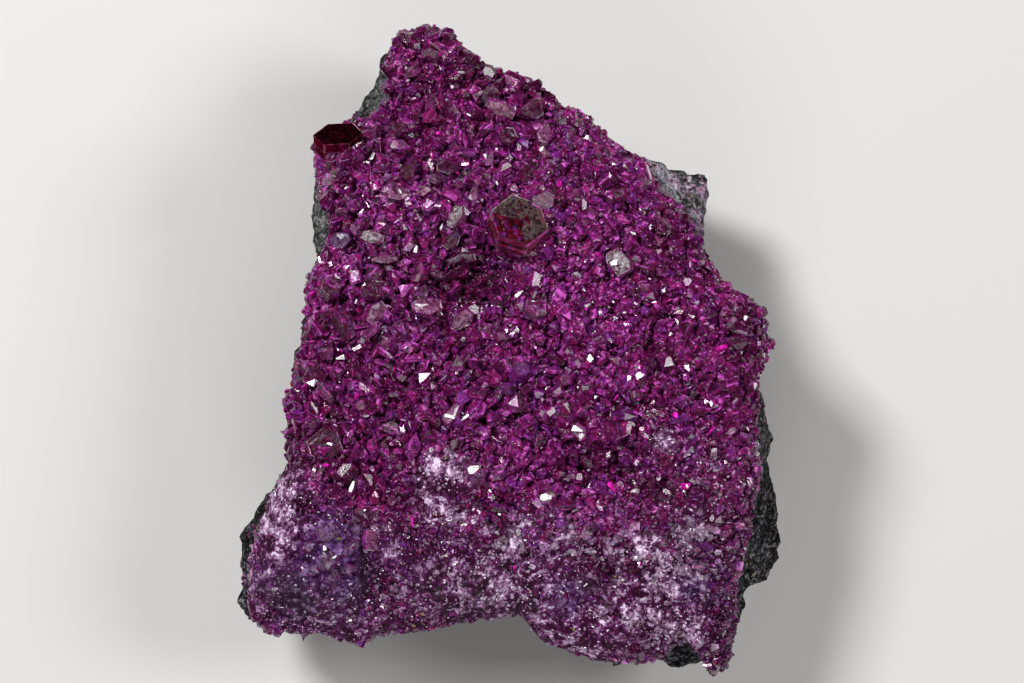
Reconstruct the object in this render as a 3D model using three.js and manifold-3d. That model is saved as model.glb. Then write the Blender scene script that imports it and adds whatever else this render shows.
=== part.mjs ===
// A kammererite specimen: a broken plate of dark chromite rock with a crust of intergrown
// magenta crystals over its upper face. It lies on its back, with the crystals upwards.
// Millimetres. +X is across the plate, +Y points to its narrow end and +Z out of the crystal face.
// The origin is the centre of the base of the specimen's bounding box.

import * as THREE from "three";
import { mergeVertices } from "three/addons/utils/BufferGeometryUtils.js";
import Module from "manifold-3d";

const wasm = await Module();
wasm.setup();

// Driving dimensions
const FACE_HEIGHT = 21.5; // top of the crust at the middle of the plate, above the surface it rests on
const SAG = 2.2; // how much lower the face lies at SAG_REACH from the middle
const SAG_REACH = 30;
const TAIL_START = -13; // below this y the face slopes away to the wide end
const TAIL_DROP = 3.4; // and is this much lower at the wide end
const TAIL_LENGTH = 19;
const EDGE_ROLL = 2.1; // how far the face rolls down at the edge of the crust
const EDGE_ROLL_START = 0.87; // share of the way out at which that begins
const CRUST_THICKNESS = 2.7;
const CRUST_WRAP = 3.0; // how far the crust reaches down the sides of the rock
const WRAP_UNEVENNESS = 0.9;
const LEDGE_START = 1.5; // the rock begins to drop this far inside the crust's edge
const LEDGE_SLOPE = 0.85; // and falls this much for each millimetre further out
const LEAST_CLEARANCE = 0.35; // between the crust and the rock it sits on

// Corners of the crust's edge, seen from above, anticlockwise from the lobe on the right.
const CRUST_EDGE = [
  [25.9, 0.5], [24.9, 4.0], [23.6, 5.3], [21.0, 6.7], [19.3, 9.4], [17.6, 13.5], [14.4, 16.3],
  [13.1, 19.2], [9.6, 21.2], [7.1, 23.6], [4.6, 24.9], [2.1, 26.8], [0.1, 27.9], [-1.5, 27.9],
  [-4.9, 30.0], [-6.3, 32.1], [-8.7, 32.7], [-11.7, 31.9], [-12.9, 29.0], [-12.7, 25.3],
  [-14.5, 23.5], [-19.7, 22.1], [-20.4, 20.4], [-19.7, 16.0], [-18.8, 14.3], [-18.5, 11.5],
  [-21.0, 6.5], [-21.0, 3.0], [-22.0, -2.5], [-23.2, -5.0], [-22.9, -11.6], [-25.1, -15.8],
  [-26.3, -18.5], [-27.2, -25.2], [-26.8, -27.2], [-24.8, -28.7], [-19.6, -28.9], [-15.3, -29.9],
  [-14.1, -28.9], [-9.0, -28.4], [-4.0, -27.3], [0.4, -26.7], [3.2, -29.7], [8.3, -31.5],
  [13.1, -31.9], [17.6, -29.6], [20.1, -32.9], [21.4, -32.6], [22.6, -28.2], [22.4, -25.0],
  [23.6, -18.5], [24.6, -13.5], [24.4, -5.0], [24.3, -3.3],
];

// Corners of the rock's edge. Where the crust overhangs it, the rock keeps about 1.5 mm inside.
const ROCK_EDGE = [
  [25.9, -9.0], [25.2, -5.3], [23.7, -2.0], [24.6, 1.0], [22.9, 4.2], [18.9, 8.8], [19.1, 13.5],
  [19.8, 17.6], [19.5, 18.1], [15.9, 18.5], [13.4, 19.6], [9.6, 20.6], [4.5, 24.2], [-1.5, 26.6],
  [-7.0, 31.2], [-10.5, 31.6], [-14.0, 29.4], [-14.2, 27.0], [-15.9, 24.0], [-18.8, 21.3],
  [-20.1, 18.0], [-20.5, 8.8], [-21.5, 2.0], [-23.6, -5.5], [-23.0, -11.4], [-25.3, -15.0],
  [-28.1, -19.0], [-28.5, -26.4], [-27.3, -27.6], [-19.5, -28.0], [-15.0, -29.1], [-9.5, -27.5],
  [-1.5, -25.9], [3.5, -28.5], [8.5, -30.2], [12.5, -31.2], [17.5, -32.8], [20.6, -32.2],
  [22.0, -30.0], [23.0, -27.4], [23.2, -24.8], [24.5, -23.9], [26.4, -23.3], [28.1, -19.9],
  [26.8, -15.5], [25.9, -11.5],
];

// Swells and hollows of the crystal face: x, y, reach and rise of each.
const SWELLS = [
  [-8.5, 27.0, 7.0, 1.1], // narrow end
  [-15.5, 13.0, 8.5, 1.5], // left shoulder
  [22.0, 0.5, 6.0, 1.7], // lobe on the right
  [5.0, -2.0, 13.0, 1.1], // middle
  [-20.0, -21.0, 7.5, 1.4], // lower left lobe
  [16.0, -23.0, 8.0, 1.3], // lower right corner
  [-3.2, 8.8, 4.2, -2.4], // hollow below the largest crystal
  [8.5, -11.5, 3.8, -1.6], // dark pocket
  [-11.0, -3.0, 4.5, -0.7],
  [-15.4, -18.5, 1.9, -1.3], // furrow between the two lower lobes
  [-14.9, -22.0, 1.9, -1.6],
  [-14.6, -25.6, 2.1, -2.0],
];

const ROCK_HEIGHT = 18; // of the rock's side, on average

// Share of the rock's outline at each level of its side, as [share of its height, share of its width].
const ROCK_SIDE = [
  [0.86, 1.0],
  [0.66, 0.995],
  [0.42, 0.975],
  [0.2, 0.94],
  [0.07, 0.87],
];
const ROCK_TOP_SHARES = [0.3, 0.56, 0.76, 0.9, 0.985];
const FOOT_SHARE = 0.72; // the flat broken face that the rock rests on
const FOOT_UNEVENNESS = 0.09;
const ROCK_ROUGHNESS = 0.05; // how far corners of the side sit inside the outline, as a share of it
const ROCK_UNEVENNESS = 0.09; // and how far they are up or down, as a share of its height
const CRUST_SWELL = [0.0, 0.7]; // the crust's side bulges by this much
const CRUST_SWELL_LEVEL = [0.25, 0.65]; // this far down it
const CRUST_WEAR = 1.0; // and draws in by this much at its lower edge
const RIM_RISE = 6.0; // crystals beside the edge are bevelled inwards over this height
const RIM_BEVEL = 2.2; // by this much

// Broken faces of the rock's lower edge: heading, slope from upright and how high up the side it starts.
const FRACTURES = [
  [8, 34, 0.62], [52, 24, 0.75], [100, 40, 0.6], [138, 22, 0.7],
  [180, 30, 0.6], [218, 36, 0.66], [255, 26, 0.55], [290, 38, 0.62], [325, 30, 0.6],
];

// Large crystals that stand out of the crust: x, y, width, thickness, tilt from +Z, heading of
// that tilt and turn about its own axis, in degrees, and how far its middle sits above the crust.
const LARGE_CRYSTALS = [
  [0.6, 12.2, 5.7, 2.4, 32, 72, 12, 1.2], // hexagonal stack in the hollow
  [-17.3, 21.0, 5.4, 2.3, 58, 100, 8, 0.9], // dark crystal on the left corner
  [-17.6, 2.6, 4.8, 1.1, 62, 215, 30, 0.9], // plate on edge at the left
  [-1.3, 24.2, 3.8, 0.9, 35, 245, 5, 1.0], // pale blade
  [-14.3, 11.0, 3.2, 1.0, 24, 80, 0, 0.8],
  [-12.6, 8.4, 3.0, 1.1, 30, 300, 15, 0.8],
  [-9.9, 10.4, 3.2, 0.9, 38, 320, 40, 0.9],
  [-10.2, 15.7, 3.6, 1.2, 30, 60, 10, 0.8],
  [-5.3, 9.4, 3.4, 1.1, 40, 250, 20, 0.8],
  [-5.0, 14.2, 3.2, 1.3, 28, 120, 35, 0.7],
  [-8.7, 4.2, 3.6, 1.2, 22, 95, 10, 0.9],
  [-13.0, 0.6, 3.2, 0.9, 45, 200, 25, 0.8],
  [-18.2, 6.4, 2.8, 1.3, 18, 110, 45, 0.7],
  [10.7, 8.8, 4.0, 1.0, 36, 150, 15, 1.0], // striped blade on the right
  [3.0, 19.8, 3.0, 1.0, 30, 20, 30, 0.8],
  [-6.0, -6.3, 3.4, 1.0, 33, 140, 35, 0.9], // pair of bright faces
  [6.4, -8.0, 3.2, 1.0, 30, 130, 30, 1.0],
  [-18.6, -9.6, 4.6, 1.3, 28, 240, 15, 0.8], // smoky plate at the left
  [10.4, -9.0, 3.6, 1.0, 40, 60, 20, 0.7],
  [-2.0, -3.6, 3.2, 1.2, 35, 80, 25, 0.6],
];

// Smaller crystals grown side by side all over the crust, each with one flat top or two.
const SEED = 1868;
const CELL = 2.8; // from one crystal to the next
const CELL_JITTER = 0.13; // how far a crystal is out of line, as a share of CELL
const CELL_WIDTH = [0.34, 0.43]; // middle to corner, as a share of CELL
const CELL_SLOPE = 0.85; // steepest top, as rise over run
const CELL_RISE = [-0.35, 0.75]; // how far a crystal stands in or out of the face
const RIDGED_SHARE = 0.55; // share of the crystals that end in a ridge with two flat faces
const RIDGE_FALL = [0.4, 1.0]; // slope of those faces
const FINE_START = -9; // below this y the crystals are lower and flatter
const FINE_LENGTH = 12;
const FINE_SHARE = 0.62;
const FIELD_HALF = 34; // half the side of the square that the crystals are laid out over
const BLOCK = 120; // side of the block that breaks away each fracture
const LARGE_END = 0.86; // width of a large crystal's end face, as a share of its widest part
const ROOT_DEPTH = 1.3; // depth of a large crystal's root below its middle, in thicknesses

const radians = THREE.MathUtils.degToRad;
const clamp = THREE.MathUtils.clamp;

/** A repeatable stream of numbers from 0 to 1 (the mulberry32 generator). */
function stream(seed) {
  let state = seed | 0;
  return () => {
    state = (state + 0x6d2b79f5) | 0;
    let t = Math.imul(state ^ (state >>> 15), 1 | state);
    t = (t + Math.imul(t ^ (t >>> 7), 61 | t)) ^ t;
    return ((t ^ (t >>> 14)) >>> 0) / 4294967296;
  };
}

const between = (random, [low, high]) => low + (high - low) * random();

/** Distance from the middle of the plate to an outline, in a direction given in radians. */
function reachOf(outline, angle) {
  const direction = new THREE.Vector2(Math.cos(angle), Math.sin(angle));
  let reach = 0;
  outline.forEach((from, i) => {
    const a = new THREE.Vector2(...from);
    const side = new THREE.Vector2(...outline[(i + 1) % outline.length]).sub(a);
    const across = direction.cross(side);
    if (Math.abs(across) < 1e-9) return;
    const along = a.cross(side) / across;
    const share = a.cross(direction) / across;
    if (along > 0 && share >= 0 && share <= 1) reach = Math.max(reach, along);
  });
  return reach;
}

/** Small unevenness of the crystal face. */
function ripple(x, y) {
  return (
    0.34 * Math.sin(0.83 * x + 0.47 * y + 1.1) * Math.cos(0.69 * y - 0.38 * x) +
    0.2 * Math.sin(1.87 * x - 0.6) * Math.sin(1.63 * y + 0.8)
  );
}

/** Height of the crystal face, without the roll at its edge. */
function faceHeight(x, y) {
  const sag = SAG * ((x * x + y * y) / SAG_REACH ** 2);
  const tail = TAIL_DROP * clamp((TAIL_START - y) / TAIL_LENGTH, 0, 1) ** 1.5;
  const swell = SWELLS.reduce(
    (sum, [sx, sy, reach, rise]) =>
      sum + rise * Math.exp(-((x - sx) ** 2 + (y - sy) ** 2) / reach ** 2),
    0,
  );
  return FACE_HEIGHT - sag - tail + swell + ripple(x, y);
}

/** Height of the crust's upper surface. */
function crustTop(x, y) {
  const share = Math.hypot(x, y) / reachOf(CRUST_EDGE, Math.atan2(y, x));
  const roll = clamp((share - EDGE_ROLL_START) / (1 - EDGE_ROLL_START), 0, 1.4);
  return faceHeight(x, y) - EDGE_ROLL * roll ** 2;
}

/** Height of the rock's upper surface, below the crust and on the ledges outside it. */
function rockTop(x, y) {
  const out = Math.hypot(x, y) - reachOf(CRUST_EDGE, Math.atan2(y, x));
  return faceHeight(x, y) - CRUST_THICKNESS - LEDGE_SLOPE * Math.max(0, out + LEDGE_START);
}

/** A closed geometry from a first point, rings of points and a last point, going from top to bottom. */
function shell(first, rings, last) {
  const round = rings[0].length;
  const points = [first, ...rings.flat(), last];
  const corners = [];
  const at = (ring, step) => 1 + ring * round + (step % round);
  for (let step = 0; step < round; step += 1) {
    corners.push(0, at(0, step), at(0, step + 1));
    for (let ring = 0; ring + 1 < rings.length; ring += 1) {
      corners.push(at(ring, step), at(ring + 1, step), at(ring + 1, step + 1));
      corners.push(at(ring, step), at(ring + 1, step + 1), at(ring, step + 1));
    }
    corners.push(points.length - 1, at(rings.length - 1, step + 1), at(rings.length - 1, step));
  }
  return new THREE.BufferGeometry().setFromPoints(points).setIndex(corners);
}

/** A solid for joining and cutting, from a geometry whose vertices are shared. */
function solidOf(geometry) {
  return new wasm.Manifold(
    new wasm.Mesh({
      numProp: 3,
      vertProperties: new Float32Array(geometry.getAttribute("position").array),
      triVerts: new Uint32Array(geometry.index.array),
    }),
  );
}

/** The largest body of a solid, as a geometry. */
function geometryOf(solid) {
  const bodies = solid.decompose().sort((a, b) => b.volume() - a.volume());
  const mesh = bodies[0].getMesh();
  return new THREE.BufferGeometry()
    .setAttribute("position", new THREE.BufferAttribute(new Float32Array(mesh.vertProperties), 3))
    .setIndex(new THREE.BufferAttribute(new Uint32Array(mesh.triVerts), 1))
    .toNonIndexed();
}

/** A ring of points at a share of an outline's width, with heights from a function of x, y and corner. */
function ringAt(outline, shareOf, heightOf) {
  return outline.map(([edgeX, edgeY], i) => {
    const share = shareOf(Math.hypot(edgeX, edgeY), i);
    return new THREE.Vector3(
      share * edgeX,
      share * edgeY,
      heightOf(share * edgeX, share * edgeY, i),
    );
  });
}

/** Directions out of an outline at its corners, long enough to move every side out by one. */
function outwards(outline) {
  const normal = (from, to) => new THREE.Vector2(to.y - from.y, from.x - to.x).normalize();
  return outline.map((corner, i) => {
    const here = new THREE.Vector2(...corner);
    const into = normal(new THREE.Vector2(...outline.at(i - 1)), here);
    const onward = normal(here, new THREE.Vector2(...outline[(i + 1) % outline.length]));
    const bisector = into.clone().add(onward).normalize();
    return bisector.divideScalar(Math.max(0.5, bisector.dot(onward)));
  });
}

/** The rock. With a margin it grows all round, so that it can cut the crust clear of itself. */
function rockSolid(margin) {
  const random = stream(SEED);
  const out = outwards(ROCK_EDGE);
  const ring = (shareOf, heightOf) =>
    ringAt(ROCK_EDGE, shareOf, heightOf).map((point, i) =>
      point.add(new THREE.Vector3(out[i].x, out[i].y, 1).multiplyScalar(margin)),
    );
  const rim = ringAt(ROCK_EDGE, () => 1, rockTop);
  const top = ROCK_TOP_SHARES.map((share) => ring(() => share, rockTop));
  const side = ROCK_SIDE.map(([height, share]) =>
    ring(
      () => share - (height > 0.8 ? 0 : ROCK_ROUGHNESS * random()),
      (x, y, i) => rim[i].z * (height + ROCK_UNEVENNESS * (random() - 0.5)),
    ),
  );
  const foot = ring(
    (reach, i) => FOOT_SHARE + FOOT_UNEVENNESS * Math.sin(2.1 * i + 0.7) * Math.cos(0.9 * i),
    () => 0,
  );
  const [peak, base] = [new THREE.Vector3(0, 0, rockTop(0, 0) + margin), new THREE.Vector3(0, 0, margin)];
  return solidOf(shell(peak, [...top, ...side, foot], base));
}

/** The space the crust keeps inside: its outline, drawn in upwards past the rim and again at the hem. */
function crustLimits() {
  const random = stream(SEED + 1);
  const rim = ringAt(CRUST_EDGE, () => 1, crustTop);
  const wraps = CRUST_EDGE.map(() => CRUST_WRAP + WRAP_UNEVENNESS * (2 * random() - 1));
  const shareOut = (millimetres) => (reach) => 1 + millimetres / reach;
  const above = ringAt(CRUST_EDGE, shareOut(-RIM_BEVEL), (x, y, i) => rim[i].z + RIM_RISE);
  const bulge = ringAt(
    CRUST_EDGE,
    (reach) => 1 + between(random, CRUST_SWELL) / reach,
    (x, y, i) => rim[i].z - between(random, CRUST_SWELL_LEVEL) * wraps[i],
  );
  const hem = ringAt(CRUST_EDGE, shareOut(-CRUST_WEAR), (x, y, i) => rim[i].z - wraps[i]);
  const [peak, base] = [new THREE.Vector3(0, 0, 2 * FACE_HEIGHT), new THREE.Vector3(0, 0, 0)];
  base.z = Math.min(...hem.map((point) => point.z));
  return solidOf(shell(peak, [above, rim, bulge, hem], base));
}

/** A solid under a surface of triangles, down to a level. */
function solidUnder(points, triangles, level) {
  const corners = [...triangles.flat()];
  const edges = new Set(triangles.flatMap(([a, b, c]) => [`${a},${b}`, `${b},${c}`, `${c},${a}`]));
  const below = (i) => i + points.length;
  triangles.forEach(([a, b, c]) => corners.push(below(a), below(c), below(b)));
  edges.forEach((edge) => {
    const [a, b] = edge.split(",").map(Number);
    if (edges.has(`${b},${a}`)) return;
    corners.push(b, a, below(a), b, below(a), below(b));
  });
  const lowered = points.map((point) => point.clone().setZ(level));
  return solidOf(
    new THREE.BufferGeometry().setFromPoints([...points, ...lowered]).setIndex(corners),
  );
}

/** Corners of one small crystal's top, anticlockwise from its right, tilted and perhaps ridged. */
function cellTop(random, middleX, middleY) {
  const x = middleX + CELL * CELL_JITTER * (2 * random() - 1);
  const y = middleY + CELL * CELL_JITTER * (2 * random() - 1);
  const down = clamp((FINE_START - y) / FINE_LENGTH, 0, 1);
  const relief = 1 - (1 - FINE_SHARE) * down;
  const rise = relief * between(random, CELL_RISE);
  const slope = relief * CELL_SLOPE * Math.sqrt(random());
  const heading = 2 * Math.PI * random();
  const fall = random() < RIDGED_SHARE ? relief * between(random, RIDGE_FALL) : 0;
  const ridge = Math.floor(3 * random());
  const radius = CELL * between(random, CELL_WIDTH);
  const level = crustTop(x, y) + rise + fall * radius * 0.4;
  return {
    ridge,
    points: Array.from({ length: 6 }, (_, k) => {
      const angle = radians(30 + 60 * k);
      const along = radius * Math.cos(angle - heading);
      const fromRidge = Math.abs(radius * Math.sin(angle - radians(30 + 60 * ridge)));
      return new THREE.Vector3(
        x + radius * Math.cos(angle),
        y + radius * Math.sin(angle),
        level + slope * along - fall * fromRidge,
      );
    }),
  };
}

/** The field of small crystals, standing side by side in rows, as one solid block. */
function crystalField() {
  const random = stream(SEED + 2);
  const rowStep = CELL * Math.sin(Math.PI / 3);
  const rows = 2 * Math.ceil(FIELD_HALF / rowStep) + 1;
  const columns = 2 * Math.ceil(FIELD_HALF / CELL) + 1;
  const points = [];
  const triangles = [];
  const first = (row, column) => 6 * (row * columns + column);
  for (let row = 0; row < rows; row += 1) {
    for (let column = 0; column < columns; column += 1) {
      const x = (column - (columns - 1) / 2 + 0.5 * (row % 2)) * CELL;
      const y = (row - (rows - 1) / 2) * rowStep;
      const { ridge, points: corners } = cellTop(random, x, y);
      const at = first(row, column);
      points.push(...corners);
      for (let k = 1; k < 5; k += 1) {
        triangles.push([at + ridge, at + ((ridge + k) % 6), at + ((ridge + k + 1) % 6)]);
      }
    }
  }
  const bridge = (a, b, c, d) => triangles.push([a, b, c], [a, c, d]);
  for (let row = 0; row < rows; row += 1) {
    for (let column = 0; column < columns; column += 1) {
      const here = first(row, column);
      const right = column + 1 < columns ? first(row, column + 1) : undefined;
      const leftColumn = column - 1 + (row % 2);
      const upLeft = row + 1 < rows && leftColumn >= 0 ? first(row + 1, leftColumn) : undefined;
      const upRight =
        row + 1 < rows && leftColumn + 1 < columns ? first(row + 1, leftColumn + 1) : undefined;
      if (right !== undefined) bridge(here + 5, right + 3, right + 2, here);
      if (upRight !== undefined) bridge(here, upRight + 4, upRight + 3, here + 1);
      if (upLeft !== undefined) bridge(here + 1, upLeft + 5, upLeft + 4, here + 2);
      if (right !== undefined && upRight !== undefined) triangles.push([here, right + 2, upRight + 4]);
      if (upRight !== undefined && upLeft !== undefined) {
        triangles.push([here + 1, upRight + 3, upLeft + 5]);
      }
    }
  }
  return solidUnder(points, triangles, 0);
}

/** One six-sided crystal: a flat end, sides that spread from it, and a root that tapers into the crust. */
function crystalGeometry(width, thickness) {
  const hexagon = (radius, z) =>
    Array.from({ length: 6 }, (_, i) => {
      const angle = (Math.PI * i) / 3;
      return new THREE.Vector3(radius * Math.cos(angle), radius * Math.sin(angle), z);
    });
  const half = thickness / 2;
  return shell(
    new THREE.Vector3(0, 0, half),
    [hexagon((LARGE_END * width) / 2, half), hexagon(width / 2, -0.6 * half)],
    new THREE.Vector3(0, 0, -ROOT_DEPTH * thickness),
  );
}

/** A crystal set on the crust: tilted from +Z towards a heading, and turned about its own axis. */
function placedCrystal({ x, y, width, thickness, tilt, heading, turn, lift }) {
  const axis = new THREE.Vector3(-Math.sin(radians(heading)), Math.cos(radians(heading)), 0);
  const matrix = new THREE.Matrix4()
    .makeTranslation(x, y, crustTop(x, y) + lift)
    .multiply(new THREE.Matrix4().makeRotationAxis(axis, radians(tilt)))
    .multiply(new THREE.Matrix4().makeRotationZ(radians(turn)));
  return solidOf(crystalGeometry(width, thickness).applyMatrix4(matrix));
}

/** The large crystals. */
function largeCrystals() {
  return LARGE_CRYSTALS.map(([x, y, width, thickness, tilt, heading, turn, lift]) =>
    placedCrystal({ x, y, width, thickness, tilt, heading, turn, lift }),
  );
}

/** The crust with its crystals, hollowed to sit over the rock. */
function crustGeometry() {
  const grownCrust = crystalField().intersect(crustLimits());
  const withLarge = wasm.Manifold.union([grownCrust, ...largeCrystals()]);
  return geometryOf(withLarge.subtract(rockSolid(LEAST_CLEARANCE)));
}

/** The rock with its broken lower faces. */
function rockGeometry() {
  const block = new THREE.BoxGeometry(BLOCK, BLOCK, BLOCK).deleteAttribute("normal").deleteAttribute("uv");
  const cutter = mergeVertices(block);
  const cuts = FRACTURES.map(([heading, slope, start]) => {
    const outward = new THREE.Vector2(1, 0).rotateAround(new THREE.Vector2(), radians(heading));
    const reach = Math.max(...ROCK_EDGE.map((corner) => outward.dot(new THREE.Vector2(...corner))));
    const matrix = new THREE.Matrix4()
      .makeRotationZ(radians(heading))
      .multiply(new THREE.Matrix4().makeTranslation(reach, 0, start * ROCK_HEIGHT))
      .multiply(new THREE.Matrix4().makeRotationY(radians(slope)))
      .multiply(new THREE.Matrix4().makeTranslation(BLOCK / 2, 0, 0));
    return solidOf(cutter.clone().applyMatrix4(matrix));
  });
  return geometryOf(rockSolid(0).subtract(wasm.Manifold.union(cuts)));
}

function namedMesh(name, geometry, color, roughness, metalness) {
  const material = new THREE.MeshStandardMaterial({ color, roughness, metalness, flatShading: true });
  const mesh = new THREE.Mesh(geometry, material);
  mesh.name = name;
  return mesh;
}

/** Moves the group so that the centre of its base is the origin. */
function centreOnBase(group) {
  group.updateMatrixWorld(true);
  const box = new THREE.Box3().setFromObject(group, true);
  const middle = box.getCenter(new THREE.Vector3());
  group.position.set(-middle.x, -middle.y, -box.min.z);
  return group;
}

const specimen = new THREE.Group();
specimen.add(
  namedMesh("chromite_matrix", rockGeometry(), 0x302d30, 0.82, 0.05),
  namedMesh("kammererite_crust", crustGeometry(), 0x6d1a5c, 0.28, 0.0),
);

export default centreOnBase(specimen);
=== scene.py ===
"""Looks of a kammererite specimen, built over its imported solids.

The specimen is a broken plate of dark chromite rock with a crust of intergrown magenta crystals over
its upper face. It lies on its back with the crystals upwards. Sizes in the tables are millimetres
from the plate's own middle, and the objects in the scene are in metres.
"""

import logging
import math
from collections.abc import Mapping, Sequence
from dataclasses import dataclass, field
from enum import Enum
from typing import Any

import bpy
import numpy as np
from mathutils import Matrix, Vector


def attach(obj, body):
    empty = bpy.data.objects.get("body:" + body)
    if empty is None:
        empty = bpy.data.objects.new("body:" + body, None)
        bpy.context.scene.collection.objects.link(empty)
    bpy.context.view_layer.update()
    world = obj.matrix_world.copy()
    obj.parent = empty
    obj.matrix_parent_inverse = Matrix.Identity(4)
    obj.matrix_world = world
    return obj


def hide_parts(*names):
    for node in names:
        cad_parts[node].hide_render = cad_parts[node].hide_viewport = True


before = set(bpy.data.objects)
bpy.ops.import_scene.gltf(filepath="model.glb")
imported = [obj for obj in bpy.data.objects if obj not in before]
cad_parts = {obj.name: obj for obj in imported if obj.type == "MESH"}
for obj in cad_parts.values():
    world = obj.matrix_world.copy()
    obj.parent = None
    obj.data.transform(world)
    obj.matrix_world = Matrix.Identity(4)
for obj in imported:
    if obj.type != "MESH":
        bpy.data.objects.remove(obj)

Array = np.ndarray
Colour = tuple[float, float, float]

MILLIMETRE = 0.001
PLATE_MIDDLE = (0.305, 0.02)  # of the plate's outlines, from the middle of the specimen's base

log = logging.getLogger("kammererite")


# ---------------------------------------------------------------- shader maths


class Wire:
    """One socket of a material, so that shader maths reads as expressions."""

    def __init__(self, shader: "Shader", socket: bpy.types.NodeSocket) -> None:
        """Keeps the socket and the shader it belongs to."""
        self.shader = shader
        self.socket = socket

    def _maths(self, operation: str, first: Any, second: Any) -> "Wire":
        """Adds one Math node.

        Args:
            operation: The node's operation.
            first: Wire or number on its first input.
            second: Wire or number on its second input.

        Returns:
            The node's result.
        """
        return self.shader.node("ShaderNodeMath", {"operation": operation}, {0: first, 1: second})

    def __add__(self, other: Any) -> "Wire":
        """Sum."""
        return self._maths("ADD", self, other)

    def __radd__(self, other: Any) -> "Wire":
        """Sum, with a number first."""
        return self._maths("ADD", other, self)

    def __sub__(self, other: Any) -> "Wire":
        """Difference."""
        return self._maths("SUBTRACT", self, other)

    def __rsub__(self, other: Any) -> "Wire":
        """Difference, with a number first."""
        return self._maths("SUBTRACT", other, self)

    def __mul__(self, other: Any) -> "Wire":
        """Product."""
        return self._maths("MULTIPLY", self, other)

    def __rmul__(self, other: Any) -> "Wire":
        """Product, with a number first."""
        return self._maths("MULTIPLY", other, self)

    def least(self, other: Any) -> "Wire":
        """The lesser of two values."""
        return self._maths("MINIMUM", self, other)

    def step(self, low: float, high: float) -> "Wire":
        """Rises smoothly from 0 at one value to 1 at another.

        Args:
            low: Value that gives 0.
            high: Value that gives 1.

        Returns:
            The smoothed share, from 0 to 1.
        """
        return self.shader.node(
            "ShaderNodeMapRange",
            {"interpolation_type": "SMOOTHSTEP"},
            {"Value": self, "From Min": low, "From Max": high},
        )


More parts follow.
